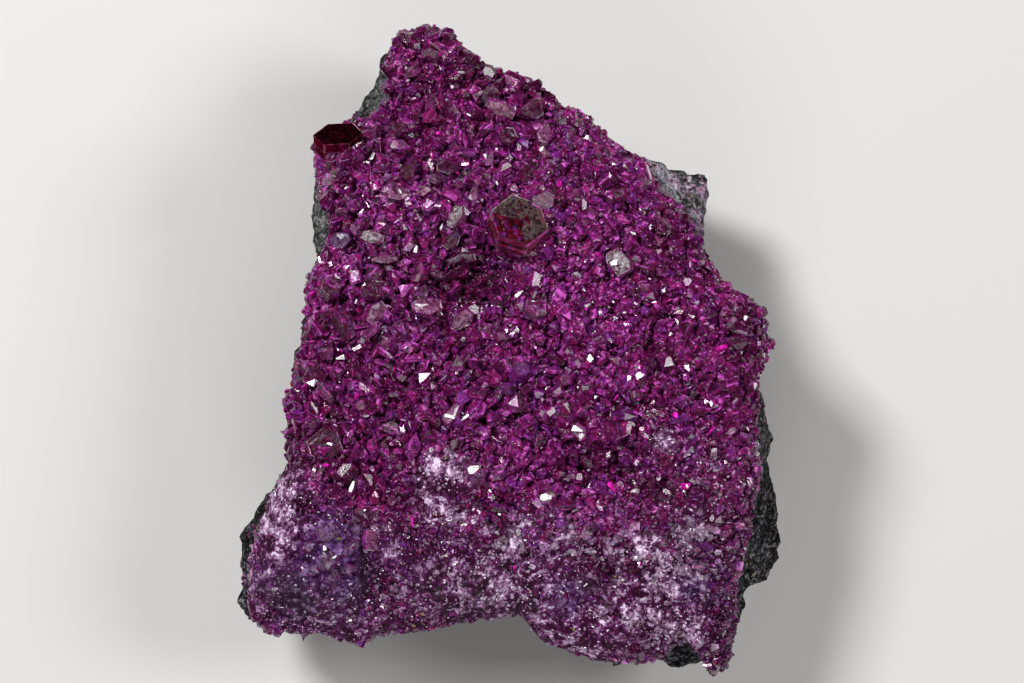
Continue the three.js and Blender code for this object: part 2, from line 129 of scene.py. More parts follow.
class Shader:
    """One material and the nodes in it."""

    def __init__(self, name: str) -> None:
        """Starts an empty node material.

        Args:
            name: Name of the material.
        """
        self.material = bpy.data.materials.new(name)
        self.material.use_nodes = True
        self.tree = self.material.node_tree
        self.tree.nodes.clear()

    def node(
        self,
        kind: str,
        settings: Mapping[str, Any] | None = None,
        sockets: Mapping[Any, Any] | None = None,
        output: int | str = 0,
    ) -> Wire:
        """Adds a node.

        Args:
            kind: Type of the node.
            settings: Its settings, set first. A ramp's colours are its "stops".
            sockets: Value or wire for each input that isn't left alone.
            output: Which of its outputs to give back.

        Returns:
            That output.
        """
        made = self.tree.nodes.new(kind)
        for name, value in (settings or {}).items():
            if name == "stops":
                self._set_stops(made.color_ramp, value)
            else:
                setattr(made, name, value)
        for key, value in (sockets or {}).items():
            if isinstance(value, Wire):
                self.tree.links.new(value.socket, made.inputs[key])
            else:
                made.inputs[key].default_value = value
        return Wire(self, made.outputs[output])

    @staticmethod
    def _set_stops(ramp: bpy.types.ColorRamp, stops: Sequence[tuple[float, Colour]]) -> None:
        """Gives a colour ramp its stops.

        Args:
            ramp: The ramp.
            stops: Place and colour of each.
        """
        while len(ramp.elements) < len(stops):
            ramp.elements.new(1.0)
        for element, (place, colour) in zip(ramp.elements, stops):
            element.position = place
            element.color = (*colour, 1.0)

    def mix(self, share: Any, first: Any, second: Any) -> Wire:
        """Mixes two colours.

        Args:
            share: How much of the second shows.
            first: Colour or wire.
            second: Colour or wire.

        Returns:
            The mixed colour.
        """
        colours = [value if isinstance(value, Wire) else (*value, 1.0) for value in (first, second)]
        settings = {"data_type": "RGBA", "clamp_factor": True}
        return self.node("ShaderNodeMix", settings, {0: share, 6: colours[0], 7: colours[1]}, 2)

    def ramp(self, value: Wire, stops: Sequence[tuple[float, Colour]]) -> Wire:
        """Turns a value into a colour.

        Args:
            value: The value, from 0 to 1.
            stops: Place and colour of each stop.

        Returns:
            The colour.
        """
        return self.node("ShaderNodeValToRGB", {"stops": stops}, {"Fac": value})

    def place(self) -> Wire:
        """Position on the piece, in metres."""
        return self.node("ShaderNodeTexCoord", output="Object")

    def noise(self, size: float, detail: float = 3.0, rough: float = 0.6, shift: float = 0.0) -> Wire:
        """Cloudy noise.

        Args:
            size: Size of its lumps in millimetres.
            detail: Octaves.
            rough: Share that each octave keeps.
            shift: Moves the pattern, so that two of one size differ.

        Returns:
            A value around one half.
        """
        moved = self.node(
            "ShaderNodeVectorMath",
            {"operation": "ADD"},
            {0: self.place(), 1: (shift * MILLIMETRE, 0.7 * shift * MILLIMETRE, 0.0)},
        )
        scale = 1 / (size * MILLIMETRE)
        sockets = {"Vector": moved, "Scale": scale, "Detail": detail, "Roughness": rough}
        return self.node("ShaderNodeTexNoise", None, sockets)

    def grains(self, size: float, output: str = "Distance") -> Wire:
        """A pattern of rounded cells.

        Args:
            size: Size of a cell in millimetres.
            output: Distance from the cell's middle, or Color for a colour of its own.

        Returns:
            That output.
        """
        sockets = {"Vector": self.place(), "Scale": 1 / (size * MILLIMETRE)}
        return self.node("ShaderNodeTexVoronoi", None, sockets, output)

    def chance(self, size: float, output: str = "Red") -> Wire:
        """A value of its own for each cell of the pattern of grains.

        Args:
            size: Size of a cell in millimetres.
            output: Red, Green or Blue, for three unlike values.

        Returns:
            A value from 0 to 1.
        """
        sockets = {"Color": self.grains(size, "Color")}
        return self.node("ShaderNodeSeparateColor", None, sockets, output)

    def painted(self, name: str) -> Wire:
        """A value stored on the mesh."""
        return self.node("ShaderNodeAttribute", {"attribute_name": name}, output="Fac")

    def leaves(self, scale: float) -> Wire:
        """Stripes of thin leaves, stacked along each crystal.

        Args:
            scale: Stripes to a millimetre of the crystal.

        Returns:
            A value around one half.
        """
        sockets = {"W": self.painted("along"), "Scale": scale, "Detail": 3.0, "Roughness": 0.7}
        return self.node("ShaderNodeTexNoise", {"noise_dimensions": "1D"}, sockets)

    def bump(self, height: Wire, depth: float, strength: float = 1.0) -> Wire:
        """Small relief.

        Args:
            height: Height of the relief, from 0 to 1.
            depth: Its depth in millimetres.
            strength: How much of it shows.

        Returns:
            The bent normal.
        """
        sockets = {"Height": height, "Distance": depth * MILLIMETRE, "Strength": strength}
        return self.node("ShaderNodeBump", None, sockets)

    def surface(self, **sockets: Any) -> bpy.types.Material:
        """Ends the material in one surface.

        Args:
            **sockets: Values or wires, by the surface's input names with _ for each space.

        Returns:
            The material.
        """
        named = {key.replace("_", " "): value for key, value in sockets.items()}
        skin = self.node("ShaderNodeBsdfPrincipled", None, named)
        output = self.tree.nodes.new("ShaderNodeOutputMaterial")
        self.tree.links.new(skin.socket, output.inputs["Surface"])
        return self.material


# ---------------------------------------------------------------- finishes


@dataclass(frozen=True)
class RockFinish:
    """Dark, granular chromite rock with grey-green parts, lilac traces and bright grains painted on as
    glints.
    """

    dark: Colour = (0.0006, 0.0006, 0.0007)
    middle: Colour = (0.005, 0.0047, 0.005)
    grey: Colour = (0.03, 0.028, 0.031)
    pale: Colour = (0.17, 0.16, 0.18)
    moss_dark: Colour = (0.008, 0.009, 0.008)
    moss: Colour = (0.035, 0.037, 0.033)
    moss_pale: Colour = (0.13, 0.137, 0.125)
    lilac: Colour = (0.32, 0.16, 0.27)
    chalk: Colour = (0.46, 0.46, 0.5)
    speck: Colour = (0.2, 0.17, 0.04)
    # colour of the pale grains, a painted glint
    grain: Colour = (0.2, 0.195, 0.21)
    broad_size: float = 5.0
    cloud_size: float = 2.4
    patch_size: float = 1.3
    grain_size: float = 0.6
    fine_size: float = 0.2
    cell_size: float = 0.24
    pit_size: float = 0.4
    relief: float = 0.35

    def material(self) -> bpy.types.Material:
        """Makes the material.

        Returns:
            The material.
        """
        shader = Shader("chromite rock")
        cloud = shader.noise(self.cloud_size, 4.0, 0.7)
        grain = shader.noise(self.grain_size, 4.0, 0.8, shift=12.0)
        fine = shader.noise(self.fine_size, 3.0, 0.8, shift=40.0)
        mixed = cloud * 0.3 + grain * 0.4 + fine * 0.3
        ground = shader.ramp(
            mixed, [(0.4, self.dark), (0.5, self.middle), (0.58, self.grey), (0.68, self.pale)]
        )
        patchy = shader.noise(self.patch_size, 4.0, 0.75, shift=27.0)
        # Grey-green and chalky parts, each ragged at its edge.
        mossy = shader.ramp(
            patchy * 0.6 + fine * 0.4,
            [(0.42, self.moss_dark), (0.5, self.moss), (0.55, self.moss_pale), (0.62, self.chalk)],
        )
        ground = shader.mix(shader.painted("mossy"), ground, mossy)
        chalky = shader.painted("chalky") + (grain - 0.5) * 1.6 + (patchy - 0.5) * 1.6
        bluish = shader.ramp(fine * 0.4 + grain * 0.6, [(0.44, self.moss), (0.56, self.chalk)])
        ground = shader.mix(chalky.step(0.62, 0.74), ground, bluish)
        # Lilac stain and pale veins in it.
        stain = shader.painted("lilac") * (1.6 * shader.noise(self.patch_size, 3.0, 0.65, shift=9.0))
        veins = shader.mix(grain.step(0.5, 0.62), self.lilac, self.chalk)
        stained = shader.mix(stain.step(0.7, 0.95) * grain.step(0.42, 0.5), ground, veins)
        # Single grains: a few brassy, and many pale ones painted on as glints of the light, in broad
        # painted patches.
        chance = shader.chance(self.cell_size)
        other = shader.chance(self.cell_size, "Green")
        spotted = shader.mix(chance.step(0.985, 0.99) * cloud.step(0.5, 0.6), stained, self.speck)
        broad = shader.noise(self.broad_size, 4.0, 0.65, shift=3.0)
        painted_glint_share = grain.step(0.4, 0.6) * (0.35 + (broad * 0.6 + cloud * 0.4).step(0.4, 0.6)).least(1.0)
        spotted = shader.mix(other.step(0.45, 0.96) * painted_glint_share, spotted, self.grain)
        relief = fine * 0.4 + grain * 0.3 + (1.0 - shader.grains(self.pit_size)) * 0.3
        return shader.surface(
            Base_Color=spotted,
            Roughness=0.8 - 0.6 * shader.chance(self.cell_size, "Blue").step(0.82, 0.88),
            Normal=shader.bump(relief, self.relief),
            IOR=1.5,
            Specular_IOR_Level=0.06,
        )


@dataclass(frozen=True)
class CrustFinish:
    """The grown-together ground of the crust: deep magenta, and pale and sugary at the wide end."""

    deep: Colour = (0.06, 0.002, 0.028)
    wine: Colour = (0.13, 0.005, 0.065)
    magenta: Colour = (0.28, 0.013, 0.17)
    lilac: Colour = (0.4, 0.14, 0.34)
    sugar_dark: Colour = (0.008, 0.0006, 0.006)
    sugar_low: Colour = (0.02, 0.0014, 0.019)
    sugar: Colour = (0.042, 0.006, 0.042)
    sugar_high: Colour = (0.105, 0.03, 0.105)
    sugar_top: Colour = (0.36, 0.25, 0.38)
    violet_dark: Colour = (0.018, 0.003, 0.027)
    violet: Colour = (0.075, 0.022, 0.12)
    violet_high: Colour = (0.24, 0.14, 0.38)
    grit_dark: Colour = (0.04, 0.005, 0.033)
    grit: Colour = (0.16, 0.06, 0.15)
    grit_high: Colour = (0.38, 0.23, 0.38)
    pale: Colour = (0.68, 0.54, 0.7)
    grey: Colour = (0.035, 0.032, 0.038)
    chalk: Colour = (0.36, 0.34, 0.4)
    shade: Colour = (0.012, 0.003, 0.01)
    dot: Colour = (0.6, 0.52, 0.62)
    speck: Colour = (0.2, 0.2, 0.06)
    broad_size: float = 2.2
    clot_size: float = 1.3
    coarse_size: float = 0.8
    fine_size: float = 0.2
    cell_size: float = 0.3
    dot_size: float = 0.17
    relief: float = 0.22

    def material(self) -> bpy.types.Material:
        """Makes the material.

        Returns:
            The material.
        """
        shader = Shader("kammererite ground")
        broad = shader.noise(self.broad_size, 4.0, 0.7, shift=33.0)
        coarse = shader.noise(self.coarse_size, 4.0, 0.7)
        fine = shader.noise(self.fine_size, 3.0, 0.75, shift=21.0)
        grain = shader.chance(self.cell_size)
        speck = shader.grains(self.cell_size)
        pale, violet, grey, sugary, dark = (
            shader.painted(name) for name in ("pale", "violet", "grey", "sugary", "dark")
        )
        clots = shader.noise(self.clot_size, 2.0, 0.5, shift=71.0)
        tone = coarse * 0.35 + fine * 0.3 + grain * 0.35
        tone = tone + (clots - 0.5) * 0.7 + (broad - 0.5) * 0.4
        blotched = tone + (clots - 0.5) * 0.5 + (broad - 0.5) * 0.4
        ground = shader.ramp(
            tone, [(0.25, self.deep), (0.42, self.wine), (0.6, self.magenta), (0.75, self.lilac)]
        )
        sugar = shader.ramp(
            blotched,
            [(0.3, self.sugar_dark), (0.42, self.sugar_low), (0.5, self.sugar), (0.6, self.sugar_high),
             (0.76, self.sugar_top)],
        )
        ground = shader.mix((sugary * 1.3 + (broad - 0.5)).step(0.3, 0.8) * 0.85, ground, sugar)
        # The smooth violet lump, then pale grit in ragged lace over everything.
        soft = broad * 0.25 + coarse * 0.35 + fine * 0.35 + clots * 0.35 + grain * 0.15 - 0.225
        quiet = shader.ramp(
            soft, [(0.36, self.violet_dark), (0.5, self.violet), (0.64, self.violet_high)]
        )
        ground = shader.mix(violet * 0.85, ground, quiet)
        grit = shader.ramp(
            tone, [(0.3, self.grit_dark), (0.48, self.grit), (0.6, self.grit_high), (0.7, self.pale)]
        )
        lace = pale * 0.65 + (broad - 0.5) * 1.3 + (clots - 0.5) * 0.6 + (coarse - 0.5) * 1.2
        ground = shader.mix(lace.step(0.34, 0.56) * pale.step(0.05, 0.3), ground, grit)
        # Grey dust, painted shade over the face's hollows, and single bright or brassy grains.
        dust = shader.mix(grain.step(0.82, 0.9), self.grey, self.chalk)
        ground = shader.mix(grey * (coarse * 0.6 + fine * 0.4).step(0.44, 0.58) * 0.6, ground, dust)
        ground = shader.mix(dark * (0.4 + broad).least(0.85), ground, self.shade)
        ground = shader.mix(shader.chance(self.dot_size).step(0.978, 0.99), ground, self.dot)
        ground = shader.mix(shader.chance(self.cell_size, "Green").step(0.997, 0.999), ground, self.speck)
        return shader.surface(
            Base_Color=ground,
            Roughness=0.6 - 0.4 * grain.step(0.88, 0.92),
            Normal=shader.bump(fine * 0.45 + (1.0 - speck) * 0.55, self.relief),
            IOR=1.5,
            Specular_IOR_Level=0.08,
        )


@dataclass(frozen=True)
class CrystalFinish:
    """Glassy crystals, laid in thin leaves, whose facets run from near black to hot magenta in painted
    shading, with painted rim highlights, sparks and sheen.
    """

    name: str
    clear: float = 0.3
    rough: float = 0.08
    gloss: float = 0.22
    glow: float = 0.35
    painted_sparkle: float = 0.45
    patch: float = 0.55
    night: Colour = (0.045, 0.0013, 0.019)
    wine: Colour = (0.088, 0.0035, 0.044)
    magenta: Colour = (0.155, 0.009, 0.1)
    hot: Colour = (0.4, 0.03, 0.32)
    flare: Colour = (0.82, 0.16, 0.7)
    rosy: Colour = (0.3, 0.006, 0.09)
    violet: Colour = (0.15, 0.02, 0.26)
    # Colours of the grey frosting: dust with a painted sheen of reflected light.
    mauve: Colour = (0.18, 0.08, 0.14)
    slate: Colour = (0.15, 0.135, 0.13)
    smoke: Colour = (0.05, 0.02, 0.034)
    pale: Colour = (0.58, 0.44, 0.6)
    # colour of the painted highlight along the facets' rims
    rim: Colour = (0.5, 0.2, 0.42)
    # colour of single sparks painted as glints
    painted_spark: Colour = (0.8, 0.62, 0.76)
    sugar: Colour = (0.048, 0.008, 0.05)
    sugar_high: Colour = (0.13, 0.042, 0.135)
    shard_size: float = 0.6
    hue_size: float = 0.45
    mottle_size: float = 0.32
    splinter_size: float = 0.3
    fine_size: float = 0.14
    painted_spark_size: float = 0.13
    leaves: float = 5.0
    relief: float = 0.05

    def material(self) -> bpy.types.Material:
        """Makes the material.

        Returns:
            The material.
        """
        shader = Shader(self.name)
        facet, cast, frost, pale, shine = (
            shader.painted(name) for name in ("facet", "cast", "frost", "pale", "shine")
        )
        veil = shader.noise(self.patch, 4.0, 0.7)
        fine = shader.noise(self.fine_size, 2.0, 0.7, shift=5.0)
        mottle = shader.noise(self.mottle_size, 3.0, 0.8, shift=15.0)
        shard, hue = shader.chance(self.shard_size), shader.chance(self.hue_size, "Blue")
        splinter = shader.chance(self.splinter_size, "Green")
        leaves = shader.leaves(self.leaves)
        # Pale rims as painted highlights, and facets that run from dark to hot.
        across, up = shader.painted("across"), shader.painted("up")
        inner = across.least(1.0 - across).least(up.least(1.0 - up))
        rim = (1.0 - inner.step(0.0, 0.1)) * shine * veil.step(0.35, 0.7)
        # Painted shading: each facet's stored brightness, painted lighter near its edges and in a slant
        # across it, stands in for light reflected inside the crystal.
        light = facet + (veil - 0.5) * 0.7 + (leaves - 0.5) * 0.7 + (fine - 0.5) * 0.5
        light = light + (shard - 0.5) * 0.25 + (splinter - 0.5) * 0.25
        light = light + (0.22 - inner) * 0.35 + shader.painted("slant") * (up - 0.5)
        body = shader.ramp(
            light,
            [(0.0, self.night), (0.3, self.wine), (0.58, self.magenta), (0.85, self.hot),
             (1.0, self.flare)],
        )
        sugar = shader.ramp(
            light, [(0.1, self.night), (0.4, self.sugar), (0.8, self.sugar_high), (1.0, self.pale)]
        )
        body = shader.mix(shader.painted("sugary") * 0.75, body, sugar)
        # A cast of its own for each crystal and splinter: rosy or violet.
        reddish = ((1.0 - cast).step(0.86, 0.98) + (1.0 - hue).step(0.78, 0.96)).least(1.0)
        body = shader.mix(reddish * light.least(1.0) * 0.8, body, self.rosy)
        bluish = (cast.step(0.82, 0.98) + hue.step(0.8, 0.96)).least(1.0)
        body = shader.mix(bluish * light.least(1.0) * 0.75, body, self.violet)
        # Grey frosting of dust with a painted sheen, pale sugar and single painted sparks.
        mottled = mottle * 0.45 + fine * 0.2 + leaves * 0.15 + splinter * 0.2
        dust = shader.mix((cast + 0.4 * hue - 0.2).step(0.55, 0.7), self.mauve, self.slate)
        dust = shader.mix(mottled.step(0.42, 0.58), self.smoke, dust)
        body = shader.mix(frost * (mottle * 0.4 + veil * 0.6).step(0.4, 0.56) * 0.85, body, dust)
        body = shader.mix((pale * 1.4 * mottled.step(0.36, 0.56)).least(0.9), body, self.pale)
        # Painted highlight along the rims.
        body = shader.mix((rim * 0.5).least(1.0), body, self.rim)
        # Single sparks painted as glints.
        painted_sparks = shader.chance(self.painted_spark_size).step(0.96, 0.98) * self.painted_sparkle
        body = shader.mix(painted_sparks, body, self.painted_spark)
        return shader.surface(
            Base_Color=body,
            Roughness=self.rough + 0.4 * frost * fine,
            Specular_IOR_Level=self.gloss,
            Normal=shader.bump(leaves * 0.5 + fine * 0.5, self.relief, 0.5),
            IOR=1.6,
            Transmission_Weight=self.clear,
            Subsurface_Weight=self.glow,
            Subsurface_Scale=0.6 * MILLIMETRE,
            Subsurface_Radius=(1.0, 0.3, 0.6),
        )


@dataclass(frozen=True)
class PaintedGlintFinish:
    """Cleavage faces painted bright as glints of the main light, streaked where the leaves have split."""

    dark: Colour = (0.16, 0.08, 0.14)
    grey: Colour = (0.5, 0.48, 0.5)
    white: Colour = (0.88, 0.84, 0.88)
    flank: Colour = (0.16, 0.012, 0.1)

    def material(self) -> bpy.types.Material:
        """Makes the material.

        Returns:
            The material.
        """
        shader = Shader("bright cleavage face")
        cloud = shader.noise(0.8, 4.0, 0.6)
        leaves = shader.leaves(6.0)
        colour = shader.ramp(
            cloud * 0.5 + leaves * 0.5, [(0.36, self.dark), (0.46, self.grey), (0.52, self.white)]
        )
        return shader.surface(
            Base_Color=shader.mix(shader.painted("end"), self.flank, colour),
            Roughness=0.3 + 0.2 * cloud,
            Normal=shader.bump(cloud, 0.08, 0.4),
            IOR=1.6,
            Specular_IOR_Level=0.3,
        )


@dataclass(frozen=True)
class FloorFinish:
    """Plain pale floor."""

    colour: Colour = (0.5, 0.49, 0.48)

    def material(self) -> bpy.types.Material:
        """Makes the material.

        Returns:
            The material.
        """
        shader = Shader("pale floor")
        cloud = shader.noise(180.0, 2.0, 0.4)
        paler = tuple(min(1.0, 1.04 * channel) for channel in self.colour)
        return shader.surface(Base_Color=shader.mix(cloud, self.colour, paler), Roughness=0.7, IOR=1.4)


# ---------------------------------------------------------------- noise and the plate's surfaces


class Noise:
    """Repeatable noise over points in space."""

    TABLE = 256  # values in the table, a power of two
    GAIN = 1.6  # brings layered noise back to about -1 to 1
    LAYER_SHIFT = 17.3  # keeps the layers from lining up
    AXIS_SHIFT = 31  # keeps the three parts of a jittered point from lining up
    JITTER = 0.45  # of the cells' points, from the middle of each cell
    FAR = 9.0  # more cells away than any nearest point

    def __init__(self, seed: int) -> None:
        """Shuffles the table of values.

        Args:
            seed: Picks the pattern.
        """
        rng = np.random.default_rng(seed)
        self.order = rng.permutation(self.TABLE)
        self.values = 2 * rng.random(self.TABLE) - 1

    def _corner(self, cell: Array, step: Sequence[int]) -> Array:
        """Picks the values at one corner of each cell.

        Args:
            cell: Whole-numbered places of the cells, as rows.
            step: Which of their corners.

        Returns:
            A value from -1 to 1 for each.
        """
        mask = self.TABLE - 1
        i, j, k = (cell[:, axis] + step[axis] for axis in range(3))
        return self.values[self.order[(self.order[(self.order[i & mask] + j) & mask] + k) & mask]]

    def smooth(self, points: Array) -> Array:
        """Smooth noise with lumps of size one.

        Args:
            points: Places, as rows of x, y and z.

        Returns:
            A value from -1 to 1 for each.
        """
        cell = np.floor(points).astype(int)
        share = points - cell
        share = share**3 * (share * (share * 6 - 15) + 10)
        total = np.zeros(len(points))
        for step in np.ndindex(2, 2, 2):
            weight = np.prod(np.where(np.array(step) == 1, share, 1 - share), axis=1)
            total += weight * self._corner(cell, step)
        return total

    def cloud(self, points: Array, size: float, octaves: int = 3, keep: float = 0.5) -> Array:
        """Layered noise.

        Args:
            points: Places, as rows of x, y and z.
            size: Size of the largest lumps.
            octaves: Layers, each half the size of the last.
            keep: Strength of a layer, as a share of the last.

        Returns:
            A value from about -1 to 1 for each.
        """
        total = np.zeros(len(points))
        strength, whole = 1.0, 0.0
        for layer in range(octaves):
            total += strength * self.smooth(points * (2**layer / size) + self.LAYER_SHIFT * layer)
            whole += strength
            strength *= keep
        return total / whole * self.GAIN

    def cells(self, points: Array, size: float) -> Array:
        """Distance to the nearest of a jittered lattice of points.

        Args:
            points: Places, as rows of x, y and z.
            size: Size of a cell.

        Returns:
            The distance as a share of a cell.
        """
        scaled = points / size
        base = np.floor(scaled).astype(int)
        nearest = np.full(len(points), self.FAR)
        for step in np.ndindex(3, 3, 3):
            cell = base + np.array(step) - 1
            shifted = [self._corner(cell + self.AXIS_SHIFT * axis, (0, 0, 0)) for axis in range(3)]
            spot = cell + 0.5 + self.JITTER * np.stack(shifted, axis=1)
            gap = np.linalg.norm(spot - scaled, axis=1)
            nearest = np.minimum(nearest, gap)
        return nearest


def flat_points(x: Array, y: Array) -> Array:
    """Points at no height from their x and y."""
    return np.stack([x, y, np.zeros_like(x)], axis=1)


def unit(rows: Array) -> Array:
    """Rows of x, y and z made one long."""
    return rows / np.linalg.norm(rows, axis=1, keepdims=True)


def fade(value: Array, start: float, end: float) -> Array:
    """Rises evenly from 0 at one value to 1 at another, and stays there."""
    return np.clip((value - start) / (end - start), 0, 1)


class Outline:
    """A closed outline round the plate's middle."""

    DIRECTIONS = 4001  # in which the outline's distance is worked out
    PARALLEL = 1e-9  # least slant between a side and a direction that meets it
    SLACK = 1e-6  # past a side's ends, so that corners aren't missed

    def __init__(self, corners: Sequence[tuple[float, float]]) -> None:
        """Works out how far the outline is in every direction.

        Args:
            corners: Its corners, anticlockwise.
        """
        start = np.array(corners)
        side = np.roll(start, -1, axis=0) - start
        self.angles = np.linspace(-math.pi, math.pi, self.DIRECTIONS)
        ray = np.stack([np.cos(self.angles), np.sin(self.angles)], axis=1)[:, None, :]
        across = ray[..., 0] * side[:, 1] - ray[..., 1] * side[:, 0]
        across = np.where(np.abs(across) < self.PARALLEL, self.PARALLEL, across)
        along = (start[:, 0] * side[:, 1] - start[:, 1] * side[:, 0]) / across
        share = (start[:, 0] * ray[..., 1] - start[:, 1] * ray[..., 0]) / across
        meets = (along > 0) & (share >= -self.SLACK) & (share <= 1 + self.SLACK)
        self.reaches = np.max(np.where(meets, along, 0.0), axis=1)

    def reach(self, angle: Array) -> Array:
        """Distance from the middle in each direction."""
        return np.interp(angle, self.angles, self.reaches)


CRUST_EDGE = Outline([
    (25.9, 0.5), (24.9, 4.0), (23.6, 5.3), (21.0, 6.7), (19.3, 9.4), (17.6, 13.5), (14.4, 16.3),
    (13.1, 19.2), (9.6, 21.2), (7.1, 23.6), (4.6, 24.9), (2.1, 26.8), (0.1, 27.9), (-1.5, 27.9),
    (-4.9, 30.0), (-6.3, 32.1), (-8.7, 32.7), (-11.7, 31.9), (-12.9, 29.0), (-12.7, 25.3),
    (-14.5, 23.5), (-19.7, 22.1), (-20.4, 20.4), (-19.7, 16.0), (-18.8, 14.3), (-18.5, 11.5),
    (-21.0, 6.5), (-21.0, 3.0), (-22.0, -2.5), (-23.2, -5.0), (-22.9, -11.6), (-25.1, -15.8),
    (-26.3, -18.5), (-27.2, -25.2), (-26.8, -27.2), (-24.8, -28.7), (-19.6, -28.9),
    (-15.3, -29.9), (-14.1, -28.9), (-9.0, -28.4), (-4.0, -27.3), (0.4, -26.7), (3.2, -29.7),
    (8.3, -31.5), (13.1, -31.9), (17.6, -29.6), (20.1, -32.9), (21.4, -32.6), (22.6, -28.2),
    (22.4, -25.0), (23.6, -18.5), (24.6, -13.5), (24.4, -5.0), (24.3, -3.3),
])

# Swells and hollows of the crystal face: x, y, reach and rise of each.
SWELLS = (
    (-8.5, 27.0, 7.0, 1.1), (-15.5, 13.0, 8.5, 1.5), (22.0, 0.5, 6.0, 1.7), (5.0, -2.0, 13.0, 1.1),
    (-20.0, -21.0, 7.5, 1.4), (16.0, -23.0, 8.0, 1.3), (-3.2, 8.8, 4.2, -2.4), (8.5, -11.5, 3.8, -1.6),
    (-11.0, -3.0, 4.5, -0.7), (-15.4, -18.5, 1.9, -1.3), (-14.9, -22.0, 1.9, -1.6),
    (-14.6, -25.6, 2.1, -2.0), (-18.0, -19.6, 2.2, 0.6),
)


@dataclass(frozen=True)
class CrystalFace:
    """The plate's upper surface, which the crust and its crystals follow."""

    height: float = 21.5
    sag: float = 2.2
    sag_reach: float = 30.0
    tail_start: float = -13.0
    tail_drop: float = 3.4
    tail_length: float = 19.0
    edge_roll: float = 2.1
    edge_roll_start: float = 0.87
    ripple: float = 0.34
    fine_ripple: float = 0.2
    wrap: float = 3.0  # how far down its edge the crust reaches
    probe: float = 0.4  # half the width over which slopes are measured

    def share(self, x: Array, y: Array) -> Array:
        """How far out towards the crust's edge a place is, from 0 to 1."""
        return np.hypot(x, y) / CRUST_EDGE.reach(np.arctan2(y, x))

    def top(self, x: Array, y: Array) -> Array:
        """Height of the crust's upper surface.

        Args:
            x: Places across the plate.
            y: Places along it.

        Returns:
            The height at each.
        """
        level = self.height - self.sag * (x * x + y * y) / self.sag_reach**2
        tail = fade(y, self.tail_start, self.tail_start - self.tail_length)
        level = level - self.tail_drop * tail**1.5
        for swell_x, swell_y, reach, rise in SWELLS:
            level = level + rise * np.exp(-((x - swell_x) ** 2 + (y - swell_y) ** 2) / reach**2)
        level = level + self.ripple * np.sin(0.83 * x + 0.47 * y + 1.1) * np.cos(0.69 * y - 0.38 * x)
        level = level + self.fine_ripple * np.sin(1.87 * x - 0.6) * np.sin(1.63 * y + 0.8)
        out = (self.share(x, y) - self.edge_roll_start) / (1 - self.edge_roll_start)
        return level - self.edge_roll * np.clip(out, 0, 1.4) ** 2

    def normal(self, x: Array, y: Array) -> Array:
        """Direction straight out of the surface.

        Args:
            x: Places across the plate.
            y: Places along it.

        Returns:
            Unit vectors, as rows.
        """
        step = self.probe
        slope_x = (self.top(x + step, y) - self.top(x - step, y)) / (2 * step)
        slope_y = (self.top(x, y + step) - self.top(x, y - step)) / (2 * step)
        return unit(np.stack([-slope_x, -slope_y, np.ones_like(x)], axis=1))


FACE = CrystalFace()
KEY_PLACE = (-0.3, 0.3, 0.5)  # of the main light, in metres
MIRRORED = np.array([-0.243, 0.243, 0.939])  # direction of faces that mirror it to the camera


def below_crust(points: Array) -> Array:
    """How far places on the rock are below the crust's hem, in millimetres."""
    return FACE.top(points[:, 0], points[:, 1]) - FACE.wrap - points[:, 2]


@dataclass(frozen=True)
class Patch:
    """A soft-edged oval part of the plate, seen from above."""

    x: float
    y: float
    wide: float
    long: float
    strength: float

    def cover(self, x: Array, y: Array) -> Array:
        """How strongly the patch covers each place."""
        gap = np.hypot((x - self.x) / self.wide, (y - self.y) / self.long)
        return self.strength * np.clip(1.5 - gap, 0, 1)


def patches(*rows: tuple[float, float, float, float, float]) -> tuple[Patch, ...]:
    """Patches from their numbers, as x, y, width, length and strength."""
    return tuple(Patch(*row) for row in rows)


